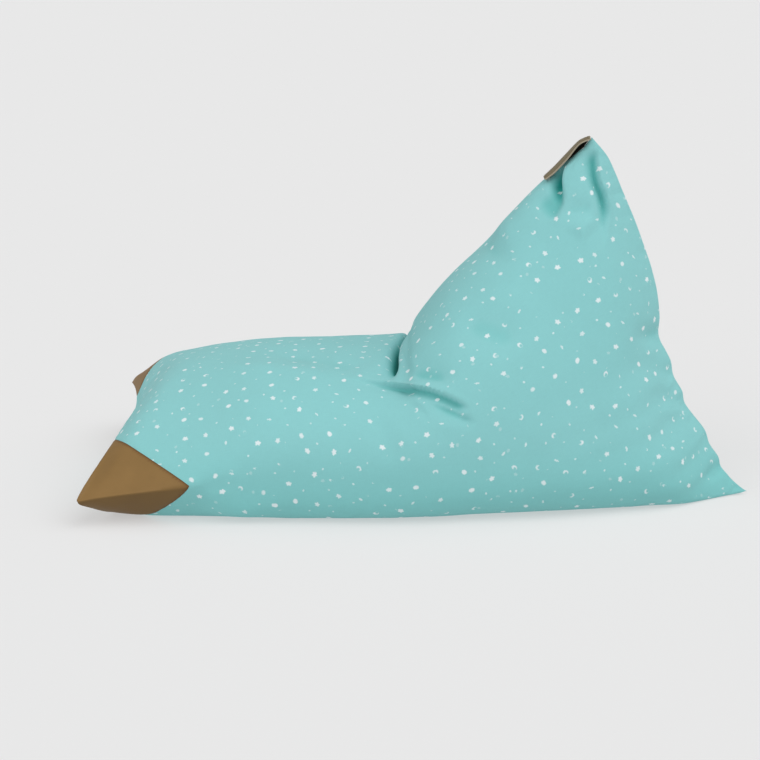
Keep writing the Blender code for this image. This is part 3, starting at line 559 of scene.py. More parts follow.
@functools.lru_cache(maxsize=1)
def flat_cloth():
    """The cloth cut open under the bag and laid flat, as places in metres for a coarse grid."""
    grid = smooth_bag(FLAT_ROWS, FLAT_POINTS)
    grid = np.concatenate([grid, grid[:, :1]], axis=1)
    rows, count = grid.shape[:2]
    faces = [(i * count + j, (i + 1) * count + j, (i + 1) * count + j + 1, i * count + j + 1)
             for i in range(rows - 1) for j in range(count - 1)]
    mesh = bpy.data.meshes.new("flat_cloth")
    mesh.from_pydata(grid.reshape(-1, 3).tolist(), [], faces)
    mesh.uv_layers.new(name="flat")
    cloth = bpy.data.objects.new("flat_cloth", mesh)
    bpy.context.scene.collection.objects.link(cloth)
    bpy.context.view_layer.objects.active = cloth
    bpy.ops.object.mode_set(mode="EDIT")
    bpy.ops.mesh.select_all(action="SELECT")
    bpy.ops.uv.unwrap(method="MINIMUM_STRETCH", margin=0.0, iterations=60)
    bpy.ops.object.mode_set(mode="OBJECT")
    corner = np.empty(len(mesh.loops) * 2)
    mesh.uv_layers["flat"].data.foreach_get("uv", corner)
    vertex = np.empty(len(mesh.loops), int)
    mesh.loops.foreach_get("vertex_index", vertex)
    flat = np.zeros((rows * count, 2))
    flat[vertex] = corner.reshape(-1, 2)
    flat = flat.reshape(rows, count, 2)
    bpy.data.objects.remove(cloth)
    top = flat[:, count // 2]
    run = top[rows // 3] - top[rows // 12]
    run /= np.linalg.norm(run)
    flat = np.stack([flat @ np.array([run[1], -run[0]]), flat @ run], 2)
    if flat[rows // 2, -1, 0] < flat[rows // 2, 0, 0]:
        flat[:, :, 0] *= -1
    sides = [np.diff(sheet, axis=k) for sheet in (grid, flat) for k in (0, 1)]
    real, laid = (sum(np.linalg.norm(side, axis=2).sum() for side in pair)
                  for pair in (sides[:2], sides[2:]))
    return (flat - flat[rows // 2, count // 2]) * real / laid


def cloth_places(rows, count):
    """The flat cloth's places for a finer grid, with the first point of each row repeated at its end."""
    flat = flat_cloth()
    i = np.linspace(0, flat.shape[0] - 1, rows)
    j = np.linspace(0, flat.shape[1] - 1, count + 1)
    low_i = np.minimum(i.astype(int), flat.shape[0] - 2)
    low_j = np.minimum(j.astype(int), flat.shape[1] - 2)
    a, b = (i - low_i)[:, None, None], (j - low_j)[None, :, None]
    near, far = flat[low_i], flat[low_i + 1]
    return ((1 - a) * ((1 - b) * near[:, low_j] + b * near[:, low_j + 1])
            + a * ((1 - b) * far[:, low_j] + b * far[:, low_j + 1]))


def cover_faces(rows, count):
    """Faces over the rows and the closed end seams, as lists of (row, point); point may equal count."""
    faces = []
    for i in range(rows - 1):
        for j in range(count):
            faces.append(((i, j), (i + 1, j), (i + 1, j + 1), (i, j + 1)))
    half, last = count // 2, rows - 1
    for j in range(count // 4, 3 * count // 4):
        faces.append(((0, j), (0, j + 1), (0, (half - j - 1) % count), (0, (half - j) % count)))
    for j in range(half):
        faces.append(((last, j), (last, (count - j) % count), (last, count - j - 1), (last, j + 1)))
    return faces


def point_values(mesh, name):
    """The mesh's points ("co") or their normals ("normal") as an array."""
    values = np.empty(len(mesh.vertices) * 3)
    mesh.vertices.foreach_get(name, values)
    return values.reshape(-1, 3)


def store_values(mesh, name, values):
    """Stores a value for every point, as an attribute for the material."""
    layer = mesh.attributes.new(name, "FLOAT", "POINT")
    layer.data.foreach_set("value", values.astype(np.float32))


def faces_out(mesh):
    """The mesh with all its faces pointing outwards."""
    bm = bmesh.new()
    bm.from_mesh(mesh)
    bmesh.ops.recalc_face_normals(bm, faces=bm.faces)
    bm.to_mesh(mesh)
    bm.free()
    return mesh


def cover_mesh():
    """The whole cover, caps included, as a mesh with its cloth's own lengths as UV."""
    grid, creases = cover_grid()
    rows, count = grid.shape[:2]
    places = cloth_places(rows, count)
    faces, corners = [], []
    for face in cover_faces(rows, count):
        index = [i * count + j % count for i, j in face]
        keep = [k for k in range(len(face)) if index[k] not in index[:k]]
        if len(keep) > 2:
            faces.append([index[k] for k in keep])
            corners += [places[face[k]] for k in keep]
    mesh = bpy.data.meshes.new("cover")
    mesh.from_pydata((grid.reshape(-1, 3) + PLACE).tolist(), [], faces)
    layer = mesh.uv_layers.new(name="cloth")
    layer.data.foreach_set("uv", np.array(corners, np.float32).ravel())
    # How deep each point lies in a crease, which the cloth's material darkens as painted shade
    store_values(mesh, "crease", creases.ravel())
    return mesh


def cap_planes(cap, side, clear):
    """A point on the cap's seam line and the normals, towards the corner, of its end face's two halves."""
    start, end = Vector(cap[0]), Vector(cap[1])
    line = (end - start).normalized()
    out = Vector((line.y, -line.x, 0.0)).normalized()
    if out.y * side < 0:
        out = -out
    up = out.cross(line).normalized()
    if up.z < 0:
        up = -up
    normals = (out - cap[2] * up).normalized(), (out + cap[3] * up).normalized()
    return start + Vector(PLACE) + clear * out, normals


def beyond_seam(points, cap, side):
    """How far each point lies beyond the cap's seam, towards the corner."""
    start, normals = cap_planes(cap, side, 0.0)
    offset = points - np.array(start)
    return np.minimum(offset @ np.array(normals[0]), offset @ np.array(normals[1]))


def rim_chains(rim, ends):
    """The open rim walked from one end vertex to the other, both ways round."""
    chains = []
    for edge in ends[0].link_edges:
        if edge not in rim:
            continue
        chain, vert = [ends[0]], edge.other_vert(ends[0])
        while vert is not ends[1]:
            chain.append(vert)
            edge = next(e for e in vert.link_edges if e in rim and e is not edge)
            vert = edge.other_vert(vert)
        chains.append(chain + [ends[1]])
    return chains


def cut_piece(bm, point, normals, keep_corner):
    """Keeps the corner beyond both planes, or the rest, and closes the cut with its two flat halves."""
    for normal in normals:
        geometry = bm.verts[:] + bm.edges[:] + bm.faces[:]
        bmesh.ops.bisect_plane(bm, geom=geometry, dist=1e-7, plane_co=point, plane_no=normal)
    lost = []
    for face in bm.faces:
        offset = face.calc_center_median() - point
        if (min(offset.dot(n) for n in normals) > 0) != keep_corner:
            lost.append(face)
    bmesh.ops.delete(bm, geom=lost, context="FACES")
    rim = {e for e in bm.edges if e.is_boundary}
    on_rim = {v for e in rim for v in e.verts}
    ends = sorted(on_rim, key=lambda v: max(abs((v.co - point).dot(n)) for n in normals))[:2]
    for chain in rim_chains(rim, ends):
        bm.faces.new(chain)
    bmesh.ops.recalc_face_normals(bm, faces=bm.faces)


def draw_in_seams(mesh):
    """Draws the cloth in along the caps' seams."""
    points = point_values(mesh, "co")
    near = np.zeros(len(points))
    for _, _, cap, side in CAPS:
        near = np.maximum(near, np.exp(-(beyond_seam(points, cap, side) / CAP_GROOVE_REACH) ** 2))
    points -= (CAP_GROOVE * near)[:, None] * point_values(mesh, "normal")
    points[:, 2] = np.maximum(points[:, 2], 0.0)
    mesh.vertices.foreach_set("co", points.ravel())
    return mesh


def put_in_scene(name, mesh, mats, nodes=()):
    """One finished piece, riding on the pouf."""
    for mat in mats:
        mesh.materials.append(mat)
    piece = bpy.data.objects.new(name, mesh)
    bpy.context.scene.collection.objects.link(piece)
    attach(piece, "root")
    if nodes:
        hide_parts(*nodes)
    return piece


def smooth_shaded(mesh, sharp_degrees):
    """Smooth shading with sharp edges where the faces turn by more than the angle."""
    mesh.shade_smooth()
    mesh.set_sharp_from_angle(angle=math.radians(sharp_degrees))
    return mesh


def store_cap_values(mesh):
    """Values for the caps' material: 1 on a seam and 0 away from it, and 1 where the cap faces down, for
    painted shade there.
    """
    points = point_values(mesh, "co")
    near = np.zeros(len(points))
    for _, _, cap, side in CAPS:
        near = np.maximum(near, np.exp(-np.abs(beyond_seam(points, cap, side)) / CAP_LINE_REACH))
    store_values(mesh, "seam_near", near)
    # Painted shade: marks where the cap faces down
    store_values(mesh, "under", fade(0.5 - 2.5 * point_values(mesh, "normal")[:, 2]))


@functools.lru_cache(maxsize=1)
def whole_cover():
    """The cover with its caps in one mesh, seams drawn in."""
    return draw_in_seams(faces_out(cover_mesh()))


def cut_mesh(name, cuts):
    """A copy of the whole cover after the given cuts, each (cap, side, clearance, keep the corner)."""
    bm = bmesh.new()
    bm.from_mesh(whole_cover())
    for cap, side, clear, keep_corner in cuts:
        cut_piece(bm, *cap_planes(cap, side, clear), keep_corner)
    mesh = bpy.data.meshes.new(name)
    bm.to_mesh(mesh)
    bm.free()
    return mesh


# Node wiring


class Wiring:
    """Adds nodes to one tree and joins them up."""

    def __init__(self, tree):
        self.tree = tree

    def add(self, kind, feeds=None, **settings):
        """A new node with its settings made and its inputs fed by name."""
        node = self.tree.nodes.new(kind)
        for key, value in settings.items():
            setattr(node, key, value)
        for key, value in (feeds or {}).items():
            self.feed(node.inputs[key], value)
        return node

    def feed(self, socket, value):
        """Joins a node's output to the socket, or sets it to a number, a vector or an opaque colour."""
        if isinstance(value, bpy.types.NodeSocket):
            self.tree.links.new(value, socket)
        elif socket.type == "RGBA":
            socket.default_value = (*value, 1.0)
        else:
            socket.default_value = value

    def feed_all(self, node, values, inputs=range(5)):
        """Feeds the values to the node's inputs by number."""
        for k, value in zip(inputs, values):
            self.feed(node.inputs[k], value)
        return node

    def math(self, operation, *values, clamp=False):
        node = self.add("ShaderNodeMath", operation=operation, use_clamp=clamp)
        return self.feed_all(node, values).outputs[0]

    def plus(self, first, second):
        return self.math("ADD", first, second)

    def minus(self, first, second):
        return self.math("SUBTRACT", first, second)

    def times(self, first, second):
        return self.math("MULTIPLY", first, second)

    def distance(self, x, y):
        """The length of the vector (x, y)."""
        return self.math("SQRT", self.plus(self.times(x, x), self.times(y, y)))

    def vector(self, operation, *values):
        node = self.add("ShaderNodeVectorMath", operation=operation)
        return self.feed_all(node, values).outputs[0]

    def scaled(self, vector, factor):
        return self.add("ShaderNodeVectorMath", {0: vector, "Scale": factor}, operation="SCALE").outputs[0]

    def step(self, value, low, high, start=0.0, end=1.0):
        """From start to end, smoothly, as the value goes from low to high."""
        node = self.add("ShaderNodeMapRange", interpolation_type="SMOOTHSTEP")
        return self.feed_all(node, (value, low, high, start, end)).outputs[0]

    def mix(self, share, first, second):
        """The first colour turning into the second as the share goes from 0 to 1."""
        node = self.add("ShaderNodeMix", data_type="RGBA")
        return self.feed_all(node, (share, first, second), (0, 6, 7)).outputs[2]

    def shaded(self, value, colour):
        """The colour made lighter or darker by the value."""
        return self.add("ShaderNodeHueSaturation", {"Value": value, "Color": colour}).outputs[0]

    def noise(self, vector, scale, detail):
        feeds = {"Vector": vector, "Scale": scale, "Detail": detail}
        return self.add("ShaderNodeTexNoise", feeds).outputs

    def parts(self, vector):
        """The vector's x, y and z."""
        return self.add("ShaderNodeSeparateXYZ", {"Vector": vector}).outputs

    def attribute(self, name):
        return self.add("ShaderNodeAttribute", attribute_name=name).outputs["Fac"]

    def place(self):
        """The place on the piece."""
        return self.add("ShaderNodeTexCoord").outputs["Object"]


def new_group(name, inputs, outputs):
    """A shader node group with the given sockets, and its wiring, input and output nodes."""
    tree = bpy.data.node_groups.new(name, "ShaderNodeTree")
    for label, kind, default in inputs:
        socket = tree.interface.new_socket(label, in_out="INPUT", socket_type=kind)
        if default is not None:
            socket.default_value = default
    for label, kind in outputs:
        tree.interface.new_socket(label, in_out="OUTPUT", socket_type=kind)
    wiring = Wiring(tree)
    return tree, wiring, wiring.add("NodeGroupInput").outputs, wiring.add("NodeGroupOutput").inputs


@functools.lru_cache(maxsize=1)
def scattered_print():
    """Small hand-drawn stars, dots, crescents and dashes, one to a cell of an uneven layout."""
    tree, w, given, result = new_group(
        "Scattered print",
        [("Vector", "NodeSocketVector", None), ("Spacing", "NodeSocketFloat", 0.045),
         ("Size", "NodeSocketFloat", 0.005), ("Stars", "NodeSocketFloat", 0.4),
         ("Crescents", "NodeSocketFloat", 0.3), ("Fill", "NodeSocketFloat", 0.9)],
        [("Mask", "NodeSocketFloat"), ("Chance", "NodeSocketFloat")])
    place, size = given["Vector"], given["Size"]
    cell_scale = w.math("DIVIDE", 1.0, given["Spacing"])
    cells = w.add("ShaderNodeTexVoronoi", {"Vector": place, "Scale": cell_scale, "Randomness": 0.45},
                  voronoi_dimensions="2D", feature="F1").outputs
    chances = w.add("ShaderNodeSeparateColor", {"Color": cells["Color"]}).outputs
    turn, look, kind = (chances[k] for k in range(3))

    # Each motif is turned its own way and its outline wobbles; a dash is a dot squeezed to half its height
    wobble = w.vector("SUBTRACT", w.noise(place, 260.0, 1.0)["Color"], (0.5, 0.5, 0.5))
    local = w.vector("SUBTRACT", place, cells["Position"])
    local = w.vector("ADD", local, w.scaled(wobble, w.times(size, 0.7)))
    turned = w.add("ShaderNodeVectorRotate", {"Vector": local, "Angle": w.times(turn, math.tau)},
                   rotation_type="Z_AXIS").outputs[0]
    part = w.parts(turned)
    dash = w.math("LESS_THAN", look, 0.22)
    x, y = part[0], w.times(part[1], w.plus(1.0, w.times(dash, 0.9)))

    # The outline's reach at each angle: lumpy, with five points on a star
    angle = w.math("ARCTAN2", y, x)
    star = w.times(w.math("COSINE", w.times(angle, 5.0)), w.math("LESS_THAN", kind, given["Stars"]))
    lump = w.math("SINE", w.plus(w.times(angle, 2.0), w.times(look, 9.0)))
    edge = w.plus(w.plus(1.0, w.times(lump, 0.13)), w.times(star, 0.17))
    reach = w.times(w.times(size, w.plus(0.86, w.times(look, 0.26))), edge)
    soft = w.times(size, 0.32)
    body = w.step(w.minus(reach, w.distance(x, y)), w.times(soft, -1.0), soft)

    # A crescent has a bite taken out of its side
    bite_reach = w.distance(w.minus(x, w.times(size, 0.55)), y)
    bite = w.step(w.minus(w.times(size, 0.72), bite_reach), w.times(soft, -1.0), soft)
    crescent = w.math("GREATER_THAN", kind, w.minus(1.0, given["Crescents"]))
    body = w.times(body, w.minus(1.0, w.times(bite, crescent)))
    there = w.math("LESS_THAN", w.math("FRACT", w.times(turn, 7.31)), given["Fill"])
    w.feed(result["Mask"], w.times(body, there))
    w.feed(result["Chance"], look)
    return tree


@functools.lru_cache(maxsize=1)
def plain_weave():
    """Over-and-under threads as a height from 0 to 1, with a slow slub in their thickness."""
    tree, w, given, result = new_group(
        "Plain weave",
        [("Vector", "NodeSocketVector", None), ("Thread pitch", "NodeSocketFloat", 0.0006),
         ("Slub", "NodeSocketFloat", 0.5)],
        [("Height", "NodeSocketFloat"), ("Tone", "NodeSocketFloat")])
    threads = w.parts(w.scaled(given["Vector"], w.math("DIVIDE", math.pi, given["Thread pitch"])))
    warp, weft = (w.math("ABSOLUTE", w.math("SINE", threads[k])) for k in range(2))
    row, column = (w.math("FLOOR", w.math("DIVIDE", threads[k], math.pi)) for k in range(2))
    over = w.math("ABSOLUTE", w.math("MODULO", w.plus(row, column), 2.0))
    height = w.plus(w.times(over, warp), w.times(w.minus(1.0, over), weft))
    slub, cross = (w.noise(w.vector("MULTIPLY", given["Vector"], density), 1.0, 1.0)[0]
                   for density in ((1400.0, 60.0, 1.0), (60.0, 1400.0, 1.0)))
    slub = w.minus(w.plus(slub, cross), 1.0)
    w.feed(result["Height"], w.plus(height, w.times(slub, given["Slub"])))
    w.feed(result["Tone"], slub)
    return tree


@functools.lru_cache(maxsize=1)
def leather_grain():
    """Pebbled grain as a height, with soft clouding for colour and shine."""
    tree, w, given, result = new_group(
        "Leather grain",
        [("Vector", "NodeSocketVector", None), ("Pebble size", "NodeSocketFloat", 0.0011)],
        [("Height", "NodeSocketFloat"), ("Cloud", "NodeSocketFloat")])
    place, scale = given["Vector"], w.math("DIVIDE", 1.0, given["Pebble size"])
    bent = w.vector("ADD", place, w.scaled(w.noise(place, 180.0, 2.0)["Color"], 0.0012))
    kinds = ((scale, "SMOOTH_F1"), (w.times(scale, 0.5), "DISTANCE_TO_EDGE"))
    pebble, crease = (
        w.add("ShaderNodeTexVoronoi", {"Vector": bent, "Scale": size}, feature=feature).outputs["Distance"]
        for size, feature in kinds)
    w.feed(result["Height"], w.minus(w.times(w.step(crease, 0.0, 0.09), 0.6), w.times(pebble, 0.5)))
    w.feed(result["Cloud"], w.noise(place, 21.0, 3.0)[0])
    return tree


def new_surface(name):
    """A new material, its wiring and its Principled shader."""
    mat = bpy.data.materials.new(name)
    mat.use_nodes = True
    return mat, Wiring(mat.node_tree), mat.node_tree.nodes["Principled BSDF"]


def use_group(wiring, tree, **feeds):
    """Places a node group in a material."""
    node = wiring.add("ShaderNodeGroup", node_tree=tree)
    for label, value in feeds.items():
        wiring.feed(node.inputs[label.replace("_", " ")], value)
    return node.outputs


def bumped(wiring, shader, height, distance, strength):
    """Feeds a height to the shader's normal."""
    node = wiring.add("ShaderNodeBump", {"Height": height, "Distance": distance, "Strength": strength})
    wiring.feed(shader.inputs["Normal"], node.outputs[0])


@functools.lru_cache(maxsize=1)
def cloth_surface():
    """Woven cotton with the scattered print, with painted shade in its folds and towards the floor."""
    settings = bpy.context.scene.pouf
    mat, w, shader = new_surface("printed_cotton")
    uv = w.add("ShaderNodeUVMap", uv_map="cloth").outputs[0]

    # The print: large motifs, small ones half a cell off them, and faint ones in a layout of their own
    spot, size = settings.motif_spacing, settings.motif_size
    large = use_group(w, scattered_print(), Vector=uv, Spacing=spot, Size=size, Stars=0.45, Crescents=0.25,
                      Fill=0.94)
    moved = w.vector("ADD", uv, (10.5 * spot, 7.5 * spot, 0.0))
    small = use_group(w, scattered_print(), Vector=moved, Spacing=spot, Size=size * 0.45, Stars=0.15,
                      Crescents=0.15, Fill=0.80)
    away = w.vector("ADD", uv, (1.371, 0.953, 0.0))
    faint = use_group(w, scattered_print(), Vector=away, Spacing=spot * 0.95, Size=size * 0.72, Stars=0.30,
                      Crescents=0.30, Fill=0.30)
    strong, weak = (w.times(layer["Mask"], w.step(layer["Chance"], 0.0, 1.0, *strength))
                    for layer, strength in ((large, LARGE_STRENGTH), (small, SMALL_STRENGTH)))
    ink = w.math("MAXIMUM", strong, weak)
    ink = w.math("MAXIMUM", ink, w.times(faint["Mask"], FAINT_STRENGTH))

    # The cotton under it, darkened by painted shade in its folds and next to the floor
    weave = use_group(w, plain_weave(), Vector=uv, Thread_pitch=settings.thread_pitch)
    clouds = w.times(w.minus(w.noise(uv, 9.0, 2.0)[0], 0.5), 0.05)
    # Painted shade: the cloth turns to the crease and hollow shade colours where a fold sinks it in
    crease = w.attribute("crease")
    ground = w.mix(crease, settings.cloth_colour, settings.crease_shade_colour)
    ground = w.mix(w.step(crease, 1.0, DEEPEST_CREASE), ground, settings.hollow_shade_colour)
    # Painted shade: the cloth takes on some of the crease shade colour towards the floor
    low = w.step(w.parts(w.place())[2], 0.0, FLOOR_SHADE_HEIGHT, settings.floor_shade_share, 0.0)
    ground = w.mix(low, ground, settings.crease_shade_colour)
    ground = w.shaded(w.plus(1.0, w.plus(clouds, w.times(weave["Tone"], 0.10))), ground)
    worn = w.math("MULTIPLY", ink, w.plus(0.96, w.times(weave["Tone"], 0.35)), clamp=True)
    w.feed(shader.inputs["Base Color"], w.mix(worn, ground, settings.print_colour))
    shader.inputs["Roughness"].default_value = 0.86
    shader.inputs["Sheen Weight"].default_value = 0.08
    shader.inputs["Sheen Roughness"].default_value = 0.55
    shader.inputs["Specular IOR Level"].default_value = 0.25
    bumped(w, shader, weave["Height"], 0.00022, 0.55)
    return mat


def new_leather(name, pebble_size, tone, rough):
    """A grained material, its wiring, shader and tone; tone and rough say the least and what clouds add."""
    mat, w, shader = new_surface(name)
    grain = use_group(w, leather_grain(), Vector=w.place(), Pebble_size=pebble_size)
    clouded = [w.plus(least, w.times(grain["Cloud"], more)) for least, more in (tone, rough)]
    w.feed(shader.inputs["Roughness"], clouded[1])
    bumped(w, shader, grain["Height"], 0.00012, 0.35)
    return mat, w, shader, clouded[0]


@functools.lru_cache(maxsize=1)
def cap_surface():
    """Leatherette, with painted shade underneath and redder along its seam."""
    settings = bpy.context.scene.pouf
    mat, w, shader, tone = new_leather("cap_leatherette", 0.0010, (0.90, 0.20), (0.44, 0.16))
    # Painted shade: the cap is up to 30 % darker where it faces down
    tone = w.times(tone, w.minus(1.0, w.times(w.attribute("under"), 0.30)))
    colour = w.mix(w.times(w.attribute("seam_near"), 0.75), w.shaded(tone, settings.leather_colour),
                   settings.leather_edge_colour)
    w.feed(shader.inputs["Base Color"], colour)
    shader.inputs["Specular IOR Level"].default_value = 0.15
    return mat


@functools.lru_cache(maxsize=1)
def strap_surfaces():
    """The handle's leather for its face, its paler cut edge and its lining, near-black as painted shadow, by
    their numbers.
    """
    settings = bpy.context.scene.pouf
    mats = []
    for name, colour, rough in (("strap_leather", settings.strap_colour, 0.42),
                                ("strap_cut_edge", settings.strap_edge_colour, 0.70),
                                ("strap_lining", settings.shadow_lining_colour, 0.75)):
        mat, w, shader, tone = new_leather(name, 0.0009, (0.88, 0.24), (rough, 0.14))
        w.feed(shader.inputs["Base Color"], w.shaded(tone, colour))
        mats.append(mat)
    return mats


@functools.lru_cache(maxsize=1)
def thread_surface():
    """Twisted sewing thread."""
    mat, w, shader = new_surface("thread")
    twist = w.add("ShaderNodeTexWave", {"Vector": w.place(), "Scale": 620.0, "Distortion": 0.6},
                  bands_direction="DIAGONAL").outputs["Fac"]
    colour = w.shaded(w.plus(0.8, w.times(twist, 0.3)), bpy.context.scene.pouf.thread_colour)
    w.feed(shader.inputs["Base Color"], colour)
    shader.inputs["Roughness"].default_value = 0.6
    bumped(w, shader, twist, 0.0001, 0.5)
    return mat


# The handle


def strap_sides():
    """Places across the strap, closer together towards its two edges."""
    half = bpy.context.scene.pouf.strap_width / 2
    return half * np.sin(np.linspace(-0.5, 0.5, STRAP_ACROSS + 1) * math.pi)


def ridge_heights():
    """Along the front ridge: the way out, the strap's centres, and the cloth's heights below its points."""
    bm = bmesh.new()
    bm.from_mesh(whole_cover())
    tree = BVHTree.FromBMesh(bm)
    bm.free()
    low, top = np.array(STRAP_LOW), np.array(STRAP_TOP)
    run = (top - low) / np.linalg.norm(top - low)
    out = np.array([-run[1], run[0]])
    shares = np.linspace(0, 1, STRAP_STEPS + 1)
    centres = low + shares[:, None] * (top - low) + np.array([PLACE[0], 0.0])
    heights = np.full((STRAP_STEPS + 1, STRAP_ACROSS + 1), NO_CLOTH)
    for i, centre in enumerate(centres):
        for j, y in enumerate(strap_sides()):
            start = Vector((centre[0] + SEARCH_START * out[0], y, centre[1] + SEARCH_START * out[1]))
            hit = tree.ray_cast(start, Vector((-out[0], 0.0, -out[1])), SEARCH_DEPTH)[0]
            if hit is not None:
                heights[i, j] = (hit.x - centre[0]) * out[0] + (hit.z - centre[1]) * out[1]
    return out, centres, heights


def pulled_tight(heights):
    """The heights of a band pulled tight over the given ones, which are evenly spaced."""
    hull = [0]
    for i in range(1, len(heights)):
        while len(hull) > 1:
            a, b = hull[-2:]
            if (heights[b] - heights[a]) * (i - a) > (heights[i] - heights[a]) * (b - a):
                break
            hull.pop()
        hull.append(i)
    return np.interp(range(len(heights)), hull, np.asarray(heights)[hull])


@functools.lru_cache(maxsize=1)
def strap_middle():
    """The strap's middle surface as rows of points, the way out of the ridge, and the ridge's own line."""
    settings = bpy.context.scene.pouf
    out, centres, heights = ridge_heights()
    sides = strap_sides()
    shares = np.linspace(0, 1, STRAP_STEPS + 1)
    lift = read_table(STRAP_LIFT, shares)[:, 0] + STRAP_CLEAR + settings.strap_thickness / 2
    droop = read_table(STRAP_DROOP, shares)[:, 0]
    level = pulled_tight(heights.max(1))
    middle = np.empty((STRAP_STEPS + 1, STRAP_ACROSS + 1, 3))
    for j, y in enumerate(sides):
        share = 2 * y / settings.strap_width
        bent = level - STRAP_BEND * share ** 2
        hang = droop * max(0.0, -share) ** DROOP_POWER
        height = pulled_tight(np.maximum(heights[:, j], bent)) + lift - hang
        height = np.maximum(height, heights[:, j] + STRAP_CLEAR + settings.strap_thickness / 2)
        middle[:, j, 0] = centres[:, 0] + height * out[0]
        middle[:, j, 1] = y
        middle[:, j, 2] = centres[:, 1] + height * out[1]
    crest = heights[:, STRAP_ACROSS // 2] + LINING_CLEAR
    ridge = np.stack(
        [centres[:, 0] + crest * out[0], np.zeros_like(crest), centres[:, 1] + crest * out[1]], 1)
    return middle, out, ridge


def shadow_lining_rings(under, ridge, way):
    """Rings of the strap's lining, which is turned under at the far edge and comes back to the ridge; its
    near-black colour is painted shadow.
    """
    first = int(LINING_START * (len(ridge) - 1))
    fall = (ridge - under[:, LINING_FROM])[first:-1]
    steps = np.linspace(0.0, 1.0, LINING_POINTS)[None, :, None]
    sheet = under[first:-1, LINING_FROM, None] + steps * fall[:, None]
    sheet -= (PIECE_GAP + LINING_SAG * np.sin(math.pi * steps)) * way
    return np.concatenate([sheet, (sheet - LINING_THICK * way)[:, ::-1]], axis=1)


def strap_mesh():
    """A flat strap with rounded cut edges and a lining of painted shadow, its face, edges and lining in
    three materials.
    """
    settings = bpy.context.scene.pouf
    middle, out, ridge = strap_middle()
    across = middle.shape[1]
    share = np.abs(strap_sides() / (settings.strap_width / 2))
    thick = 0.5 * settings.strap_thickness * np.sqrt(np.maximum(1 - share ** EDGE_POWER, EDGE_LEAST))
    way = np.array([out[0], 0.0, out[1]])
    under = middle - thick[None, :, None] * way
    over = middle + thick[None, :, None] * way
    points, faces, kinds = [], [], []
    band = np.concatenate([over, under[:, ::-1]], axis=1)
    for rings, closing in ((band, STRAP_CUT_EDGE), (shadow_lining_rings(under, ridge, way), STRAP_SHADOW_LINING)):
        rows, count = rings.shape[:2]
        start = len(points)
        points += rings.reshape(-1, 3).tolist()
        for i in range(rows - 1):
            for j in range(count):
                a, b = start + i * count + j, start + i * count + (j + 1) % count
                faces.append((a, b, b + count, a + count))
                inner = closing == STRAP_CUT_EDGE and 1 < j % across < across - 2
                kinds.append(STRAP_FACE if inner else closing)
        for i in (0, rows - 1):
            faces.append([start + i * count + j for j in range(count)])
            kinds.append(closing)
    mesh = bpy.data.meshes.new("strap")
    mesh.from_pydata(points, [], faces)
    mesh.polygons.foreach_set("material_index", kinds)
    return faces_out(mesh)


def strap_point(along, across):
    """A point on the strap's face at a share of its length and a distance from its middle line."""
    middle, out, _ = strap_middle()
    row = along * (len(middle) - 1)
    low = min(int(row), len(middle) - 2)
    line = middle[low] + (row - low) * (middle[low + 1] - middle[low])
    place = np.array([np.interp(across, line[:, 1], line[:, k]) for k in range(3)])
    return place + bpy.context.scene.pouf.strap_thickness / 2 * np.array([out[0], 0.0, out[1]])


def stitch_paths():
    """The handle's sewing lines: one along each edge, and a box at each end."""
    settings = bpy.context.scene.pouf
    side = settings.strap_width / 2 - SEWING_INSET
    inner = side - BOX_INSET
    paths = [[strap_point(s, y) for s in np.linspace(*SEWING_ENDS, LINE_POINTS)] for y in (-side, side)]
    for first, last in SEWING_BOXES:
        corners = ((first, -inner), (last, -inner), (last, inner), (first, inner), (first, -inner))
        box = []
        for (s0, y0), (s1, y1) in zip(corners, corners[1:]):
            box += [strap_point(s0 + k * (s1 - s0) / SIDE_POINTS, y0 + k * (y1 - y0) / SIDE_POINTS)
                    for k in range(SIDE_POINTS)]
        paths.append(box + [box[0]])
    return paths


def stitch_tree():
    """Geometry nodes that lay stitches at an even pitch along every line of a wire mesh."""
    tree = bpy.data.node_groups.new("Stitch rows", "GeometryNodeTree")
    face = tree.interface
    face.new_socket("Geometry", in_out="INPUT", socket_type="NodeSocketGeometry")
    for label, value in (("Pitch", 0.0034), ("Stitch length", 0.0025), ("Thread radius", 0.0004)):
        face.new_socket(label, in_out="INPUT", socket_type="NodeSocketFloat").default_value = value
    face.new_socket("Material", in_out="INPUT", socket_type="NodeSocketMaterial")
    face.new_socket("Geometry", in_out="OUTPUT", socket_type="NodeSocketGeometry")
    w = Wiring(tree)
    given = w.add("NodeGroupInput").outputs
    radius = given["Thread radius"]
    curve = w.add("GeometryNodeMeshToCurve", {"Mesh": given["Geometry"]}).outputs[0]
    points = w.add("GeometryNodeResampleCurve", {"Curve": curve, "Length": given["Pitch"]},
                   mode="LENGTH").outputs[0]
    ball = w.add("GeometryNodeMeshIcoSphere", {"Radius": 1.0, "Subdivisions": 2}).outputs[0]
    half = w.times(given["Stitch length"], 0.5)
    size = w.add("ShaderNodeCombineXYZ", {"X": half, "Y": radius, "Z": radius}).outputs[0]
    stitch = w.add("GeometryNodeTransform", {"Geometry": ball, "Scale": size}).outputs[0]
    tangent = w.add("GeometryNodeInputTangent").outputs[0]
    turn = w.add("FunctionNodeAlignRotationToVector", {"Vector": tangent}, axis="X").outputs[0]
    rows = w.add("GeometryNodeInstanceOnPoints",
                 {"Points": points, "Instance": stitch, "Rotation": turn}).outputs[0]
    real = w.add("GeometryNodeRealizeInstances", {"Geometry": rows}).outputs[0]
    done = w.add("GeometryNodeSetMaterial", {"Geometry": real, "Material": given["Material"]}).outputs[0]
    w.feed(w.add("NodeGroupOutput").inputs["Geometry"], done)
    return tree


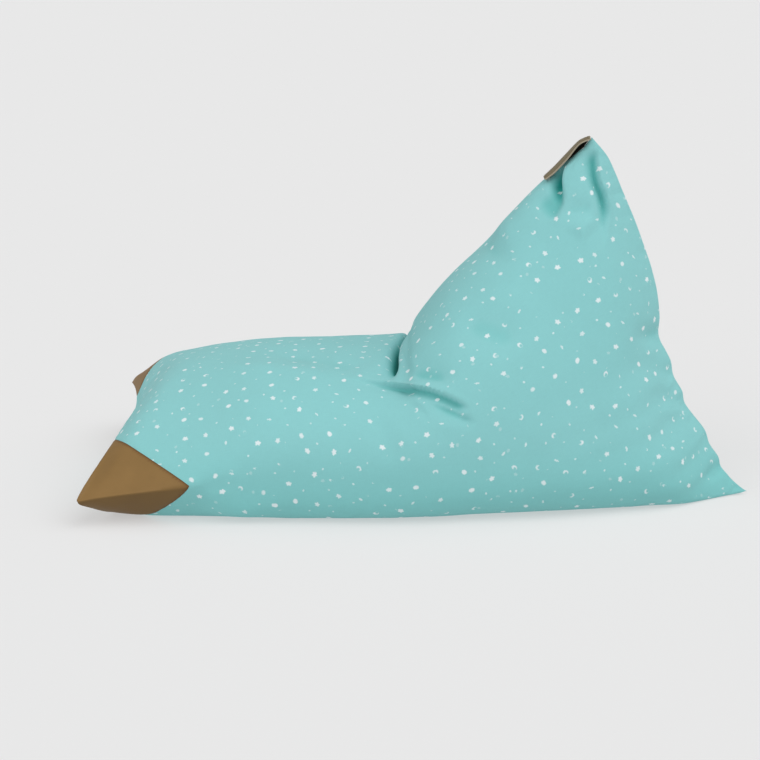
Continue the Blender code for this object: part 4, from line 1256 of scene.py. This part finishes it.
def stitched(name, paths, material, **sizes):
    """The stitches along the paths as one plain mesh."""
    points, edges = [], []
    for path in paths:
        start = len(points)
        points += [tuple(p) for p in path]
        edges += [(start + k, start + k + 1) for k in range(len(path) - 1)]
    mesh = bpy.data.meshes.new(name + "_lines")
    mesh.from_pydata(points, edges, [])
    lines = bpy.data.objects.new(name + "_lines", mesh)
    bpy.context.scene.collection.objects.link(lines)
    modifier = lines.modifiers.new("Stitch rows", "NODES")
    tree = stitch_tree()
    modifier.node_group = tree
    for item in tree.interface.items_tree:
        label = item.name.lower().replace(" ", "_")
        if item.in_out == "INPUT" and label in sizes:
            modifier[item.identifier] = sizes[label]
        if item.in_out == "INPUT" and item.name == "Material":
            modifier[item.identifier] = material
    evaluated = lines.evaluated_get(bpy.context.evaluated_depsgraph_get())
    result = bpy.data.meshes.new_from_object(evaluated)
    result.name = name
    bpy.data.objects.remove(lines)
    return result


# What a user may change: colours, lengths and other amounts


ColourProperty = functools.partial(bpy.props.FloatVectorProperty, subtype="COLOR", min=0.0, max=1.0)
LengthProperty = functools.partial(bpy.props.FloatProperty, unit="LENGTH")
AmountProperty = functools.partial(bpy.props.FloatProperty, min=0.0)


class PoufSettings(bpy.types.PropertyGroup):
    """Sizes and colours of the pouf's finish and of its studio."""

    cloth_colour: ColourProperty(
        name="Cloth colour", description="Colour of the cotton between the motifs",
        default=SLOT_COLOURS["printed_cloth"])
    # Painted shade: the cloth's colour deep in its creases
    crease_shade_colour: ColourProperty(
        name="Crease colour", description="Colour of the cotton deep in its creases",
        default=(0.032, 0.420, 0.385))
    # Painted shade: the cloth's colour where a crease is deepest
    hollow_shade_colour: ColourProperty(
        name="Hollow colour", description="Colour of the cotton where a crease is deepest",
        default=(0.006, 0.520, 0.460))
    # Painted shade: how much the cloth next to the floor is darkened
    floor_shade_share: AmountProperty(
        name="Low tint", description="Share of the crease colour in the cotton next to the floor",
        default=0.20, max=1.0)
    print_colour: ColourProperty(
        name="Print colour", description="Colour of the printed motifs", default=(0.88, 0.90, 0.92))
    motif_spacing: LengthProperty(
        name="Motif spacing", description="Mean distance between the large motifs", default=0.042)
    motif_size: LengthProperty(
        name="Motif size", description="Radius of a large motif", default=0.0040)
    thread_pitch: LengthProperty(
        name="Thread pitch", description="Distance between the threads of the weave", default=0.0007)
    softness: AmountProperty(
        name="Softness", description="How uneven the filling leaves the cloth", default=1.0, max=4.0)
    pucker_depth: LengthProperty(
        name="Pucker depth", description="Height of the small waves along the end seams", default=0.0022)
    pucker_reach: LengthProperty(
        name="Pucker reach", description="How far from a seam its small waves run", default=0.022)
    leather_colour: ColourProperty(
        name="Cap colour", description="Colour of the corner caps", default=SLOT_COLOURS["brown_leather"])
    leather_edge_colour: ColourProperty(
        name="Cap seam colour", description="Colour of the caps along their seams",
        default=(0.085, 0.026, 0.010))
    strap_colour: ColourProperty(
        name="Strap colour", description="Colour of the handle's face", default=(0.19, 0.155, 0.088))
    strap_edge_colour: ColourProperty(
        name="Strap edge colour", description="Colour of the handle's cut edges",
        default=(0.30, 0.26, 0.19))
    # Painted shadow: the near-black colour of the sheet in the gap under the handle
    shadow_lining_colour: ColourProperty(
        name="Lining colour", description="Colour of the handle's lining", default=(0.030, 0.026, 0.022))
    strap_width: LengthProperty(
        name="Strap width", description="Width of the handle", default=STRAP_WIDTH)
    strap_thickness: LengthProperty(
        name="Strap thickness", description="Thickness of the handle", default=STRAP_THICK)
    thread_colour: ColourProperty(
        name="Thread colour", description="Colour of the handle's sewing thread",
        default=(0.17, 0.115, 0.06))
    stitch_pitch: LengthProperty(
        name="Stitch pitch", description="Distance from one stitch to the next", default=0.0034)
    stitch_length: LengthProperty(
        name="Stitch length", description="Visible length of one stitch", default=0.0026)
    thread_radius: LengthProperty(
        name="Thread radius", description="Radius of the sewing thread", default=0.00038)
    floor_colour: ColourProperty(
        name="Floor colour", description="Colour of the studio floor", default=(0.34, 0.34, 0.34))
    floor_glow: AmountProperty(
        name="Floor glow", description="Light given off by the floor, which keeps shadows pale",
        default=0.468)
    sky_strength: AmountProperty(
        name="Sky strength", description="Strength of the even light from all round", default=0.34)
    left_light: AmountProperty(
        name="Left light", description="Strength of the wide light from the left", default=1.05)
    front_light: AmountProperty(
        name="Front light", description="Strength of the wide light from the front", default=0.88)
    right_light: AmountProperty(
        name="Right light", description="Strength of the wide light from the right", default=1.04)


# Operators and panel


class POUF_OT_cover(bpy.types.Operator):
    """Makes the printed cover, filled and resting on the floor"""

    bl_idname = "pouf.cover"
    bl_label = "Cover"

    def execute(self, context):
        cuts = [(cap, side, 0.0, False) for _, _, cap, side in CAPS]
        mesh = smooth_shaded(cut_mesh("printed_cover", cuts), 62)
        piece = put_in_scene("printed_cover", mesh, [cloth_surface()], ["bag"])
        return {"FINISHED"}


class POUF_OT_caps(bpy.types.Operator):
    """Makes the two corner caps"""

    bl_idname = "pouf.caps"
    bl_label = "Corner caps"

    def execute(self, context):
        for name, node, cap, side in CAPS:
            mesh = smooth_shaded(cut_mesh(name, [(cap, side, PIECE_GAP, True)]), 48)
            store_cap_values(mesh)
            piece = put_in_scene(name, mesh, [cap_surface()], [node])
        return {"FINISHED"}


class POUF_OT_handle(bpy.types.Operator):
    """Makes the strap handle"""

    bl_idname = "pouf.handle"
    bl_label = "Handle"

    def execute(self, context):
        mesh = smooth_shaded(strap_mesh(), 50)
        put_in_scene("strap_handle", mesh, strap_surfaces(), ["handle"])
        return {"FINISHED"}


class POUF_OT_stitches(bpy.types.Operator):
    """Sews the handle with rows of stitches"""

    bl_idname = "pouf.stitches"
    bl_label = "Stitches"

    def execute(self, context):
        s = context.scene.pouf
        mesh = stitched("handle_stitches", stitch_paths(), thread_surface(), pitch=s.stitch_pitch,
                        stitch_length=s.stitch_length, thread_radius=s.thread_radius)
        put_in_scene("handle_stitches", mesh, [])
        return {"FINISHED"}


def toward(azimuth, elevation):
    """The way to something seen from the pouf, by angles in degrees; azimuth 0 is the camera's side."""
    turn, height = math.radians(azimuth), math.radians(elevation)
    return Vector((math.sin(turn) * math.cos(height), -math.cos(turn) * math.cos(height), math.sin(height)))


def soft_sun(name, azimuth, elevation, strength):
    """A very wide sun, which lights the whole floor alike from wherever it stands."""
    light = bpy.data.lights.new(name, "SUN")
    light.angle = math.radians(LIGHT_SPREAD)
    light.energy = strength
    lamp = bpy.data.objects.new(name, light)
    way = toward(azimuth, elevation)
    lamp.location = LIGHT_DISTANCE * way
    lamp.rotation_euler = way.to_track_quat("Z", "Y").to_euler()
    bpy.context.scene.collection.objects.link(lamp)


class POUF_OT_stage(bpy.types.Operator):
    """Sets up the floor, the lights and the camera"""

    bl_idname = "pouf.stage"
    bl_label = "Studio"

    def execute(self, context):
        scene, settings = context.scene, context.scene.pouf
        scene.view_settings.view_transform = "Standard"
        scene.view_settings.look = "None"
        mesh = bpy.data.meshes.new("floor")
        corners = [(x * FLOOR_HALF, y * FLOOR_HALF, -FLOOR_DROP)
                   for x, y in ((-1, -1), (1, -1), (1, 1), (-1, 1))]
        mesh.from_pydata(corners, [], [(0, 1, 2, 3)])
        floor = bpy.data.objects.new("floor", mesh)
        scene.collection.objects.link(floor)
        mat, _, shader = new_surface("studio_floor")
        shader.inputs["Base Color"].default_value = (*settings.floor_colour, 1.0)
        shader.inputs["Emission Color"].default_value = (1.0, 1.0, 1.0, 1.0)
        shader.inputs["Emission Strength"].default_value = settings.floor_glow
        shader.inputs["Roughness"].default_value = 0.9
        shader.inputs["Specular IOR Level"].default_value = 0.0
        mesh.materials.append(mat)

        world = bpy.data.worlds.new("studio_sky")
        world.use_nodes = True
        sky = world.node_tree.nodes["Background"]
        sky.inputs["Color"].default_value = (1.0, 1.0, 1.0, 1.0)
        sky.inputs["Strength"].default_value = settings.sky_strength
        scene.world = world
        for name, azimuth, elevation in LIGHTS:
            soft_sun(name, azimuth, elevation, getattr(settings, name))

        back = toward(CAMERA_AZIMUTH, CAMERA_ELEVATION)
        lens = bpy.data.cameras.new("camera")
        lens.lens = CAMERA_LENS
        lens.sensor_width = CAMERA_SENSOR
        lens.clip_end = CAMERA_FAR_END
        camera = bpy.data.objects.new("camera", lens)
        camera.location = Vector(CAMERA_TARGET) + CAMERA_DISTANCE * back
        camera.rotation_euler = back.to_track_quat("Z", "Y").to_euler()
        scene.collection.objects.link(camera)
        scene.camera = camera
        return {"FINISHED"}


class POUF_PT_panel(bpy.types.Panel):
    """Settings and steps of the pouf"""

    bl_idname = "POUF_PT_panel"
    bl_label = "Pouf"
    bl_space_type = "VIEW_3D"
    bl_region_type = "UI"
    bl_category = "Pouf"

    def draw(self, context):
        for name in PoufSettings.__annotations__:
            self.layout.prop(context.scene.pouf, name)
        for step in STEPS:
            self.layout.operator(step.bl_idname)


STEPS = (POUF_OT_cover, POUF_OT_caps, POUF_OT_handle, POUF_OT_stitches, POUF_OT_stage)
CLASSES = (PoufSettings, *STEPS, POUF_PT_panel)


def register():
    for item in CLASSES:
        bpy.utils.register_class(item)
    bpy.types.Scene.pouf = bpy.props.PointerProperty(type=PoufSettings)


def unregister():
    del bpy.types.Scene.pouf
    for item in reversed(CLASSES):
        bpy.utils.unregister_class(item)


def main():
    register()
    bpy.ops.pouf.cover()
    bpy.ops.pouf.caps()
    bpy.ops.pouf.handle()
    bpy.ops.pouf.stitches()
    bpy.ops.pouf.stage()


if __name__ == "__main__":
    main()
